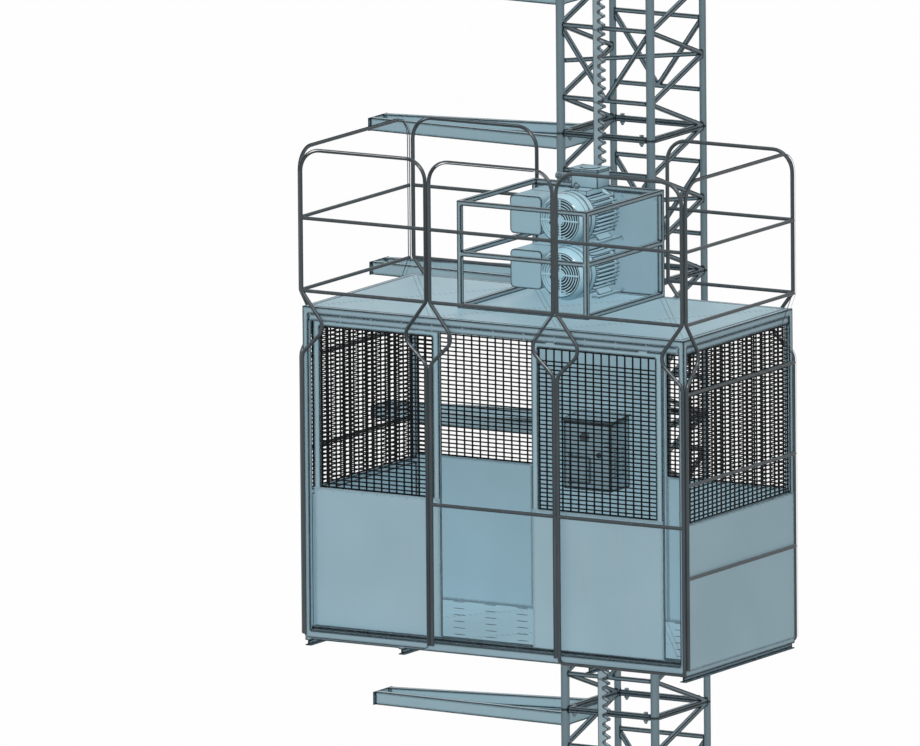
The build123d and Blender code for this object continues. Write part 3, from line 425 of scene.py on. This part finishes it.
def bend_tube(mesh, corners, radii, normal):
    """Carries a circle round a closed route of corners, each with its bend radius."""
    corners = [Vector(corner) for corner in corners]
    count = len(corners)
    stops = []
    for number, corner in enumerate(corners):
        back = (corners[number - 1] - corner).normalized()
        ahead = (corners[(number + 1) % count] - corner).normalized()
        bend = math.pi - back.angle(ahead)
        reach = radii[number] * math.tan(bend / 2)
        centre = corner + (back + ahead).normalized() * (radii[number] / math.cos(bend / 2))
        way = 1 if (-back).cross(ahead).dot(normal) > 0 else -1
        stops.append((corner + back * reach, corner + ahead * reach, centre, way * bend))
    first = stops[0][1]
    heading = (stops[1][0] - first).normalized()
    place = Matrix.Translation(first) @ heading.to_track_quat("Z", "Y").to_matrix().to_4x4()
    ring = bmesh.ops.create_circle(mesh, cap_ends=False, radius=TUBE_RADIUS, segments=TUBE_SIDES, matrix=place)
    ring = list({edge for vert in ring["verts"] for edge in vert.link_edges})
    here = first
    for number in list(range(1, count)) + [0]:
        start, end, centre, bend = stops[number]
        moved = bmesh.ops.extrude_edge_only(mesh, edges=ring)["geom"]
        bmesh.ops.translate(
            mesh, verts=[part for part in moved if isinstance(part, bmesh.types.BMVert)], vec=start - here
        )
        ring = [part for part in moved if isinstance(part, bmesh.types.BMEdge)]
        ring = [edge for edge in ring if abs((edge.verts[0].co - edge.verts[1].co).dot(start - here)) < 1e-6]
        here = start
        if abs(bend) > 0.01:
            steps = max(2, round(abs(bend) / 0.17))
            spun = bmesh.ops.spin(
                mesh, geom=ring, cent=centre, axis=normal, angle=bend, steps=steps, use_duplicate=False
            )["geom_last"]
            ring = [part for part in spun if isinstance(part, bmesh.types.BMEdge)]
            here = end


# %% Bend the seven loops
LOOP_BOTTOM, LOOP_TOP = 1.692, 5.069
FRONT_Y, REAR_Y, LEFT_X, RIGHT_X = -2.1035, -0.6065, -1.4015, 1.6315
UPPER_RAILS = (4.094, 4.595)
loop_runs = {
    "front_loop_left": ((-1.382, FRONT_Y), (1, 0), 0.982, ()),
    "front_loop_middle": ((-0.370, FRONT_Y), (1, 0), 0.970, (2.7,)),
    "front_loop_right": ((0.630, FRONT_Y), (1, 0), 0.982, (2.7,)),
    "rear_loop_left": ((-1.382, REAR_Y), (1, 0), 0.982, (2.7,)),
    "rear_loop_right": ((0.630, REAR_Y), (1, 0), 0.982, (2.7,)),
    "end_loop_left": ((LEFT_X, -2.084), (0, 1), 1.458, (3.616, 2.989, 2.349)),
    "end_loop_right": ((RIGHT_X, -2.084), (0, 1), 1.458, (3.616, 2.989, 2.349)),
}
side_line = [(0, LOOP_BOTTOM), (0, 3.665), (0.190, 3.845), (0, 4.094), (0, LOOP_TOP)]
side_bends = [0.03, 0.080, 0.090, 0.040, 0.150]
for name, (corner, (along_x, along_y), width, bars) in loop_runs.items():
    mesh = bmesh.new()
    along = Vector((along_x, along_y, 0))
    foot = Vector((*corner, 0))
    outline = side_line + [(width - x, z) for x, z in reversed(side_line)]
    route = [foot + along * x + Vector((0, 0, z)) for x, z in outline]
    bend_tube(mesh, route, side_bends + side_bends[::-1], along.cross(Vector((0, 0, 1))))
    for z in (*UPPER_RAILS, *bars):
        start = foot + Vector((0, 0, z)) + along * 0.004
        rod(mesh, start, start + along * (width - 0.008), TUBE_RADIUS * 0.97, TUBE_SIDES)
    finish_piece(name + "_tube", mesh, "tube_paint", "cage", smooth=True, stands_for=[name])

# %% [markdown]
# ## The wire nets
# The walls and doors are filled with welded wire. Each net has upright wires on one side and level wires on
# the other, welded where they cross. Hundreds of wires are drawn, so each is a plain four-sided bar, which
# at this size is only a thin dark line, and a flat frame strip holds their ends.

# %% Weave the nets
WIRE_PITCH_ACROSS, WIRE_PITCH_UP = 0.061, 0.029
WIRE = 0.0085


def wire_net(name, corner, along, out, width, height, body, node, up_only=0.0):
    """A net from its lower corner: upright wires over the full height and level wires up to up_only below the top.
    """
    mesh = bmesh.new()
    corner, along, out = Vector(corner), Vector(along), Vector(out)

    def wire(a, b, depth):
        start = corner + along * a[0] + Vector((0, 0, a[1])) + out * depth
        end = corner + along * b[0] + Vector((0, 0, b[1])) + out * depth
        half = (along + out + Vector((0, 0, 1))) * (WIRE / 2)
        low = Vector(map(min, start, end)) - Vector(map(abs, half))
        high = Vector(map(max, start, end)) + Vector(map(abs, half))
        box(mesh, low, high)

    uprights = round(width / WIRE_PITCH_ACROSS)
    for number in range(1, uprights):
        across = width * number / uprights
        wire((across, 0.003), (across, height - 0.003), 0.0012)
    level_height = height - up_only
    levels = round(level_height / WIRE_PITCH_UP)
    for number in range(1, levels + (1 if up_only else 0)):
        z = level_height * number / levels
        wire((0.003, z), (width - 0.003, z), 0.0036)
    strip = 0.010
    for low, high in (
        ((0, 0), (width, strip)),
        ((0, height - strip), (width, height)),
        ((0, strip), (strip, height - strip)),
        ((width - strip, strip), (width, height - strip)),
    ):
        a = corner + along * low[0] + Vector((0, 0, low[1]))
        b = corner + along * high[0] + Vector((0, 0, high[1])) + out * 0.005
        box(mesh, map(min, a, b), map(max, a, b))
    finish_piece(name, mesh, "mesh_paint", body, stands_for=[node] if node else (), merge=False)


wire_net("right_end_net", (1.595, -2.048, 2.72), (0, 1, 0), (1, 0, 0), 1.386, 1.218, "cage", "right_end_mesh")
wire_net("left_end_net", (-1.37, -2.048, 2.72), (0, 1, 0), (1, 0, 0), 1.386, 1.218, "cage", "left_end_mesh")
wire_net("rear_net_left", (-1.343, -0.645, 2.745), (1, 0, 0), (0, 1, 0), 0.937, 1.193, "cage", "rear_meshes")
wire_net("rear_net_right", (0.636, -0.645, 2.745), (1, 0, 0), (0, 1, 0), 0.937, 1.193, "cage", None)
wire_net(
    "door_net_left", (-1.291, -2.015, 2.73), (1, 0, 0), (0, 1, 0), 0.893, 1.115, "left_door", "door_mesh_left"
)
wire_net(
    "door_net_right",
    (0.453, -2.055, 2.73),
    (1, 0, 0),
    (0, 1, 0),
    0.926,
    1.115,
    "right_door",
    "door_mesh_right",
    up_only=0.09,
)

# %% [markdown]
# ## The motors
# Each motor is a cast body with level cooling fins, a pressed cowl over the fan and a grille of rings at its
# end. The fins end on a circle, so each is as long as that circle is wide at its height. The cowl is spun
# from its profile, with a soft shoulder that catches the light, and the grille's rings are spun one by one.

# %% The motor bodies
DRIVE_X = 0.1125
DRIVE_LEVELS = {"lower": 4.178, "upper": 4.553}
FIN_CIRCLE = 0.196
FIN_PITCH = 0.029
for level, z in DRIVE_LEVELS.items():
    mesh = bmesh.new()
    core = [(-0.672, 0.0), (-0.672, 0.160), (-0.690, 0.168), (-0.712, 0.150), (-0.966, 0.150)]
    core += [(-0.984, 0.172), (-1.004, 0.172), (-1.004, 0.0145), (-0.965, 0.0145), (-0.965, 0.0)]
    turned(mesh, [(-y, r) for y, r in core], (DRIVE_X, 0, z), (0, -1, 0), 40, closed=False)
    for number in range(-4, 5):
        height = number * FIN_PITCH
        reach = math.sqrt(FIN_CIRCLE**2 - height**2)
        fin = (DRIVE_X - reach, -0.972, z + height - 0.0035), (DRIVE_X + reach, -0.705, z + height + 0.0035)
        box(mesh, *fin, bevel=0.0015)
    for number in range(-3, 4):
        across = DRIVE_X + number * FIN_PITCH
        depth = math.sqrt(0.178**2 - (number * FIN_PITCH) ** 2)
        box(mesh, (across - 0.0035, -0.972, z - depth), (across + 0.0035, -0.705, z), bevel=0.0015)
    box(mesh, (DRIVE_X - 0.134, -0.6700, z - 0.134), (DRIVE_X + 0.134, -0.6531, z + 0.134), bevel=0.006)
    box(mesh, (DRIVE_X - 0.07, -0.93, z + 0.10), (DRIVE_X + 0.07, -0.72, z + 0.1738), bevel=0.004)
    for side in (-1, 1):
        leg = [(0.085, -0.095), (0.100, -0.095), (0.160, -0.164), (0.146, -0.164)]
        verts = [mesh.verts.new((DRIVE_X + side * x, -0.915, z + drop)) for x, drop in leg]
        swept = bmesh.ops.extrude_face_region(mesh, geom=[mesh.faces.new(verts)])["geom"]
        swept = [part for part in swept if isinstance(part, bmesh.types.BMVert)]
        bmesh.ops.translate(mesh, verts=swept, vec=(0, 0.170, 0))
        low_x, high_x = sorted((DRIVE_X + side * 0.138, DRIVE_X + side * 0.1995))
        box(mesh, (low_x, -0.990, z - 0.1748), (high_x, -0.672, z - 0.163), bevel=0.003)
    finish_piece(
        f"motor_casting_{level}", mesh, "cast_paint", "cage", smooth=True, stands_for=[f"motor_body_{level}"]
    )

# %% The fan cowls
for level, z in DRIVE_LEVELS.items():
    mesh = bmesh.new()
    outer = [(1.003, 0.1845), (1.075, 0.1845), (1.095, 0.1835), (1.112, 0.1812), (1.128, 0.1775)]
    outer += [(1.142, 0.1727), (1.155, 0.1667), (1.166, 0.1600), (1.174, 0.1535), (1.177, 0.1490)]
    inner = [(1.172, 0.1465), (1.160, 0.1575), (1.140, 0.1680), (1.110, 0.1765), (1.075, 0.1805)]
    inner += [(1.003, 0.1805)]
    turned(mesh, outer + inner, (DRIVE_X, 0, z), (0, -1, 0), 64)
    turned(mesh, [(1.060, 0.1840), (1.066, 0.1862), (1.072, 0.1840)], (DRIVE_X, 0, z), (0, -1, 0), 64)
    finish_piece(f"cowl_shell_{level}", mesh, "cowl_paint", "cage", smooth=True, stands_for=[f"fan_cowl_{level}"])
    mesh = bmesh.new()
    for number in range(7):
        radius = 0.034 + number * 0.0186
        ring = [(1.172, radius - 0.0030), (1.1760, radius - 0.0030), (1.1760, radius + 0.0030)]
        ring += [(1.172, radius + 0.0030)]
        turned(mesh, ring, (DRIVE_X, 0, z), (0, -1, 0), 40)
    rod(mesh, (DRIVE_X, -1.168, z), (DRIVE_X, -1.176, z), 0.026, 24)
    for number in range(4):
        arm = Matrix.Rotation(math.tau * number / 4, 3, "Y") @ Vector((1, 0, 0))
        start, end = Vector((DRIVE_X, -1.1725, z)) + arm * 0.02, Vector((DRIVE_X, -1.1725, z)) + arm * 0.149
        rod(mesh, start, end, 0.0060, 6)
    finish_piece(f"grille_{level}", mesh, "grille_paint", "cage", smooth=True)
    mesh = bmesh.new()
    for y, radius in ((1.0050, 0.1846), (1.1140, 0.1809), (1.1762, 0.1512)):
        seam = [(y - 0.003, radius - 0.001), (y, radius + 0.0016), (y + 0.003, radius - 0.001)]
        turned(mesh, seam, (DRIVE_X, 0, z), (0, -1, 0), 64)
    finish_piece(f"cowl_seams_{level}", mesh, "fan_plastic", "cage", smooth=True)
    # The fan wheel is dark plastic with a backplate disc nearly as wide as the cowl, so the view through the grille
    # is dark: the blades' colour is their own, and the dark disc is painted shade inside the cowl.
    mesh = bmesh.new()
    hub_and_backplate = [(0.966, 0.0), (0.966, 0.014), (1.045, 0.014), (1.045, 0.138), (1.052, 0.138), (1.052, 0.038)]
    hub_and_backplate += [(1.118, 0.034), (1.1199, 0.030), (1.1199, 0.0)]
    turned(mesh, hub_and_backplate, (DRIVE_X, 0, z), (0, -1, 0), 36, closed=False)
    for number in range(9):
        spoke = Matrix.Rotation(math.tau * number / 9, 4, "Y")
        lean = Matrix.Rotation(0.5, 4, "X")
        place = Matrix.Translation((DRIVE_X, -1.084, z)) @ spoke @ Matrix.Translation((0.085, 0, 0)) @ lean
        bmesh.ops.create_cube(mesh, size=1, matrix=place @ Matrix.Diagonal((0.104, 0.062, 0.004, 1)))
    finish_piece(
        f"fan_wheel_{level}", mesh, "fan_plastic", f"motor_fan_{level}", stands_for=[f"motor_fan_{level}"]
    )

# %% [markdown]
# ## Gear cases, terminal box and drive plate
# The gear case is a casting in two halves, so it has a seam, bolts down its side and a filler plug. The
# terminal box on the upper motor has a lid with four screws and a cable gland beside it. The plate behind
# both drives carries its bearings on bolts. None of these is large, but bare boxes would look like dummies.

# %% Gear case fittings
for level, z in DRIVE_LEVELS.items():
    mesh = bmesh.new()
    for y in (-1.04, -0.92, -0.80, -0.70):
        for side in (-1, 1):
            bolt(mesh, (-0.3348, y, z + side * 0.06), (-1, 0, 0), 0.009, 0.007)
    bolt(mesh, (-0.211, -0.74, z + 0.1328), (0, 0, 1), 0.014, 0.012)
    finish_piece(f"gear_case_fittings_{level}", mesh, "bolt_steel", "cage", smooth=True)
    mesh = bmesh.new()
    box(mesh, (-0.3365, -0.862, z - 0.100), (-0.0855, -0.852, z + 0.100), bevel=0.001)
    box(mesh, (-0.302, -0.862, z - 0.1345), (-0.120, -0.852, z + 0.1345), bevel=0.001)
    finish_piece(f"gear_case_seam_{level}", mesh, "drive_paint", "cage")

# %% Terminal box and lifting eye
mesh = bmesh.new()
box(mesh, (0.003, -0.835, 4.7271), (0.213, -0.670, 4.840), bevel=0.002)
finish_piece("terminal_box_shell", mesh, "drive_paint", "cage", smooth=True, stands_for=["terminal_box"])
mesh = bmesh.new()
box(mesh, (-0.010, -0.848, 4.8401), (0.226, -0.657, 4.8585), bevel=0.002)
for x in (0.008, 0.208):
    for y in (-0.830, -0.675):
        rod(mesh, (x, y, 4.858), (x, y, 4.860), 0.007, 12)
turned(mesh, [(4.857, 0.066), (4.8625, 0.066), (4.865, 0.062), (4.865, 0)], (0.108, -0.752, 0), (0, 0, 1), 32, False)
finish_piece("terminal_box_cover", mesh, "drive_paint", "cage", smooth=True, stands_for=["terminal_box_lid"])
mesh = bmesh.new()
GLAND_Y, GLAND_Z = -0.79, 4.79
for start, end, radius, sides in (
    (0.004, -0.050, 0.014, 16),
    (-0.050, -0.072, 0.027, 6),
    (-0.072, -0.128, 0.024, 24),
    (-0.128, -0.136, 0.020, 24),
):
    rod(mesh, (start, GLAND_Y, GLAND_Z), (end, GLAND_Y, GLAND_Z), radius, sides)
gland_ring = [(0.811, 0.019), (0.8145, 0.017), (0.8145, 0.011), (0.811, 0.009)]
turned(mesh, gland_ring, (-0.100, 0, GLAND_Z), (0, -1, 0), 20)
eye_centre = Vector((DRIVE_X - 0.03, -0.895, 4.553 + 0.196))
circle = [
    (0.006 * math.sin(math.tau * n / 10), 0.019 + 0.006 * math.cos(math.tau * n / 10)) for n in range(10)
]
turned(mesh, circle, eye_centre, (0, 1, 0), 24)
rod(mesh, eye_centre - Vector((0, 0, 0.024)), eye_centre - Vector((0, 0, 0.014)), 0.014, 16)
finish_piece("gland_and_eye", mesh, "bolt_steel", "cage", smooth=True)

# %% Plate bolts
mesh = bmesh.new()
for z in (4.02, 4.365, 4.66):
    for x in (-0.352, 0.302, 0.562):
        bolt(mesh, (x, -0.6529, z), (0, -1, 0), 0.010, 0.006)
for level, z in DRIVE_LEVELS.items():
    for x in (-0.112, 0.112):
        for dz in (-0.112, 0.112):
            bolt(mesh, (DRIVE_X + x, -0.670, z + dz), (0, -1, 0), 0.010, 0.008)
finish_piece("drive_plate_bolts", mesh, "rivet_paint", "cage")

# %% [markdown]
# ## Rollers
# Eight turned rollers hold the cage to the front chords. Each has a groove that fits the tube, two raised
# rims and a boss round its pin. The groove's curve follows the chord with a small gap, so the profile is
# worked out from the chord's radius and spun round the pin.

# %% Turn the rollers
CHORD, ROLLER_OFFSET, GROOVE = 0.355, 0.075, 0.0305
half_groove = [0.0, 0.005, 0.010, 0.0145, 0.018]
groove = [(t, ROLLER_OFFSET - math.sqrt(GROOVE**2 - t**2)) for t in half_groove]
rim = [(0.0215, 0.0535), (0.0245, 0.0535), (0.0250, 0.0525)]
web = [(0.0250, 0.044), (0.0215, 0.041), (0.0215, 0.026), (0.0248, 0.023), (0.0248, 0.0122)]
half_profile = groove + rim + web
profile = [(-t, r) for t, r in reversed(half_profile)][:-1] + half_profile
for name in [n for n in frame["nodes"] if "roller" in n]:
    low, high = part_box(name)
    centre = (low + high) / 2
    mesh = bmesh.new()
    axis = (1, 0, 0) if name.startswith("front") else (0, 1, 0)
    turned(mesh, profile, centre, axis, 40)
    finish_piece(name + "_turned", mesh, "roller_steel", name, smooth=True, stands_for=[name])

# %% [markdown]
# ## Bolts on the mast and the ties
# A mast goes up section by section, and every joint is bolted beside each chord. The tie arms hang from lugs
# under the joints and end on a plate at the wall. The rack is screwed to its pads with socket heads. All of
# these stay with the mast, so they go into pieces that ride on it.

# %% Mast bolts
mesh = bmesh.new()
for section in range(1, 6):
    for x in (-0.283, 0.283):
        for y in (-CHORD, CHORD):
            rod(mesh, (x, y, section - 0.0201), (x, y, section - 0.034), 0.0165, 6)
            rod(mesh, (x, y, section - 0.034), (x, y, section - 0.046), 0.0098, 12)
for section in range(6):
    for z in (0.25, 0.75):
        for x in (-0.037, -0.014):
            rod(mesh, (x, -0.4399, section + z), (x, -0.450, section + z), 0.0075, 12)
finish_piece("mast_nuts", mesh, "bolt_steel", "mast", smooth=True)

mesh = bmesh.new()
for section in range(1, 7):
    top = section - 0.035
    for y in (-0.258, 0.230):
        bolt(mesh, (-0.389, y, top), (0, 0, 1), 0.012, 0.009)
        bolt(mesh, (-0.389, y, top - 0.090), (0, 0, -1), 0.012, 0.009)
    for y in (-0.225, -0.065):
        for z in (top - 0.022, top - 0.068):
            bolt(mesh, (-1.9301, y, z), (1, 0, 0), 0.010, 0.008)
finish_piece("tie_arm_bolts", mesh, "bolt_steel", "mast")

# %% [markdown]
# ## Roof, floor and walls
# The roof and floor are plates that are welded through to the crossed braces below. The welds show as two
# dotted lines along each brace, and the floor has short raised treads. The sheets of the walls are held by
# rows of rivets along their edges, which also give the eye a scale.

# %% Treads and plug welds
FLOOR_TOP, ROOF_TOP = 1.745, 3.985
BAYS = ((-1.343, -0.385), (-0.385, 0.615), (0.615, 1.573))
TREAD_DEPTH = 0.0016
mesh = bmesh.new()
for row in range(7):
    y = -1.96 + row * 0.21
    for number in range(12):
        x = -1.24 + number * 0.25 + (0.125 if row % 2 else 0)
        if x > 1.52:
            continue
        place = Matrix.Translation((x, y, FLOOR_TOP + TREAD_DEPTH / 2)) @ Matrix.Diagonal((0.050, 0.006, 1, 1))
        bmesh.ops.create_cone(
            mesh, segments=12, radius1=1, radius2=0.8, depth=TREAD_DEPTH, cap_ends=True, matrix=place
        )
finish_piece("floor_treads", mesh, "mesh_paint", "cage", merge=False)
for name, plate_top in (("roof", ROOF_TOP), ("floor", FLOOR_TOP)):
    mesh = bmesh.new()
    for left, right_x in BAYS:
        for y0, y1 in ((-2.048, -0.662), (-0.662, -2.048)):
            start, end = Vector((left, y0, plate_top)), Vector((right_x, y1, plate_top))
            along = (end - start).normalized()
            across = along.cross(Vector((0, 0, 1)))
            dots = int((end - start).length / 0.042)
            for number in range(1, dots):
                for side in (-1, 1):
                    spot = start + along * (number * 0.042) + across * (side * 0.016)
                    rod(mesh, spot, spot + Vector((0, 0, 0.0012)), 0.0045, 6, 0.003)
    finish_piece(f"{name}_plug_welds", mesh, "mesh_paint", "cage", merge=False)


# %% Rivets
def rivet_row(mesh, start, end, out, pitch=0.11):
    start, end, out = Vector(start), Vector(end), Vector(out)
    count = max(1, round((end - start).length / pitch))
    for number in range(count + 1):
        spot = start.lerp(end, number / count)
        rod(mesh, spot, spot + out * 0.0022, 0.0062, 8, 0.0036)


mesh = bmesh.new()
for x, way in ((1.618, 1), (-1.388, -1)):
    for z in (1.722, 2.703):
        rivet_row(mesh, (x, -2.07, z), (x, -0.64, z), (way, 0, 0))
    for y in (-2.072, -0.638):
        rivet_row(mesh, (x, y, 1.80), (x, y, 2.62), (way, 0, 0))
for x0, x1 in ((-1.33, -0.44), (0.65, 1.56)):
    for z in (1.76, 2.733):
        rivet_row(mesh, (x0, -0.648, z), (x1, -0.648, z), (0, -1, 0))
for x in (-0.418, 0.624):
    rivet_row(mesh, (x, -0.648, 1.80), (x, -0.648, 3.90), (0, -1, 0), 0.15)
for z in (3.897, 3.93):
    rivet_row(mesh, (-1.33, -2.084, z), (1.56, -2.084, z), (0, -1, 0), 0.25)
finish_piece("wall_rivets", mesh, "rivet_paint", "cage", merge=False)

# %% [markdown]
# ## Doors
# Each leaf hangs from two carriages in the top track and is pushed by a bar handle. The carriage wheels
# sit inside the track above the hangers. The lower sheet covers the leaf's front up to its net, under two
# rows of rivets. These pieces ride on their own door, so they slide with it.

# %% Door fittings
for body, low_x, width, y in (("left_door", -1.341, 0.993, -2.0125), ("right_door", 0.403, 1.026, -2.0525)):
    mesh = bmesh.new()
    for x in (low_x + 0.15, low_x + width - 0.15):
        for side in (-0.022, 0.022):
            rod(mesh, (x + side, y - 0.0125, 3.905), (x + side, y - 0.0148, 3.905), 0.010, 16)
    handle_x = low_x + width - 0.025 if body == "left_door" else low_x + 0.025
    rod(mesh, (handle_x, y + 0.0185, 2.50), (handle_x, y + 0.0185, 2.66), 0.0045, 12)
    for z in (2.51, 2.65):
        rod(mesh, (handle_x, y + 0.0124, z), (handle_x, y + 0.0185, z), 0.004, 12)
    finish_piece(f"{body}_fittings", mesh, "bolt_steel", body, smooth=True)
    mesh = bmesh.new()
    x0, x1, front = low_x + 0.025, low_x + width - 0.025, y - 0.0137
    for z in (1.777, 2.710):
        rivet_row(mesh, (x0, front, z), (x1, front, z), (0, -1, 0), 0.12)
    finish_piece(f"{body}_rivets", mesh, "rivet_paint", body, merge=False)
    mesh = bmesh.new()
    box(mesh, (low_x + 0.0005, front, 1.7575), (low_x + width - 0.0005, y - 0.0126, 2.7295))
    finish_piece(f"{body}_sheet", mesh, "sheet_paint", body)

# %% [markdown]
# ## The control cabinet
# The operator's cabinet has a small door over the switches and a stop button in a turned collar. Louvres on
# its side let the heat out.

# %% Cabinet fittings
mesh = bmesh.new()
turned(
    mesh,
    [(0.9001, 0.035), (0.9028, 0.034), (0.9028, 0.0285), (0.9001, 0.0285)],
    (0.136, 0, 3.020),
    (0, -1, 0),
    32,
)
for z in (2.93, 2.96, 2.99):
    box(mesh, (0.29, -0.9025, z), (0.325, -0.8998, z + 0.008), bevel=0.001)
rod(mesh, (0.166, -0.9082, 2.79), (0.166, -0.9084, 2.79), 0.008, 16)
finish_piece("cabinet_fittings", mesh, "knob_plastic", "cage", smooth=True)
mesh = bmesh.new()
for number in range(7):
    z = 2.75 + number * 0.03
    box(mesh, (0.3398, -0.86, z), (0.3425, -0.72, z + 0.008), bevel=0.001)
finish_piece("cabinet_louvres", mesh, "cabinet_paint", "cage")

# %% [markdown]
# ## Floor and light
# The hoist stands on a plain pale floor. A sun from above and in front gives the roof, the front and the
# side their three shades, and an even white world fills in. The camera, glossy and transmission rays see
# plain white, so the object stands on white while the floor keeps its shadow.

# %% Studio
floor_data = bpy.data.meshes.new("studio_floor")
mesh = bmesh.new()
bmesh.ops.create_grid(mesh, x_segments=1, y_segments=1, size=60, matrix=Matrix.Translation((0, 0, -0.002)))
mesh.to_mesh(floor_data)
mesh.free()
studio_floor = bpy.data.objects.new("studio_floor", floor_data)
bpy.context.scene.collection.objects.link(studio_floor)


def rays_that_see_white(tree):
    """One for a camera, glossy or transmission ray, and nought for the rays that light the object."""
    paths = tree.nodes.new("ShaderNodeLightPath")
    seen = math_node(tree, "MAXIMUM", paths.outputs["Is Camera Ray"], paths.outputs["Is Glossy Ray"])
    return math_node(tree, "MAXIMUM", seen, paths.outputs["Is Transmission Ray"])


floor_material = bpy.data.materials.new("studio_floor")
floor_material.use_nodes = True
tree = floor_material.node_tree
floor_shader = tree.nodes["Principled BSDF"]
floor_shader.inputs["Base Color"].default_value = (0.36, 0.36, 0.36, 1)
floor_shader.inputs["Roughness"].default_value = 0.9
floor_shader.inputs["Specular IOR Level"].default_value = 0.1
glow = tree.nodes.new("ShaderNodeEmission")
glow.inputs["Strength"].default_value = 1.04
blend = tree.nodes.new("ShaderNodeMixShader")
tree.links.new(math_node(tree, "MULTIPLY", rays_that_see_white(tree), 0.92), blend.inputs[0])
tree.links.new(floor_shader.outputs[0], blend.inputs[1])
tree.links.new(glow.outputs[0], blend.inputs[2])
tree.links.new(blend.outputs[0], tree.nodes["Material Output"].inputs["Surface"])
floor_data.materials.append(floor_material)

world = bpy.data.worlds.new("studio_world")
world.use_nodes = True
bpy.context.scene.world = world
tree = world.node_tree
fill_light = tree.nodes["Background"]
fill_light.inputs["Color"].default_value = (0.98, 0.99, 1.0, 1)
fill_light.inputs["Strength"].default_value = 0.14
backdrop = tree.nodes.new("ShaderNodeBackground")
backdrop.inputs["Color"].default_value = (1, 1, 1, 1)
backdrop.inputs["Strength"].default_value = 1.0
blend = tree.nodes.new("ShaderNodeMixShader")
tree.links.new(rays_that_see_white(tree), blend.inputs[0])
tree.links.new(fill_light.outputs[0], blend.inputs[1])
tree.links.new(backdrop.outputs[0], blend.inputs[2])
tree.links.new(blend.outputs[0], tree.nodes["World Output"].inputs["Surface"])

for name, direction, strength, angle in (
    ("key_sun", (0.40, -0.57, 0.72), 4.0, 12),
    ("left_fill", (-0.75, -0.60, 0.25), 0.2, 30),
):
    sun = bpy.data.lights.new(name, "SUN")
    sun.energy = strength
    sun.angle = math.radians(angle)
    sun.use_shadow = False
    lamp = bpy.data.objects.new(name, sun)
    lamp.rotation_mode = "QUATERNION"
    lamp.rotation_quaternion = Vector(direction).to_track_quat("Z", "Y")
    bpy.context.scene.collection.objects.link(lamp)
bpy.context.scene.view_settings.view_transform = "Standard"
print(len(pieces), "new pieces,", sum(len(p.data.polygons) for p in pieces.values()), "faces")
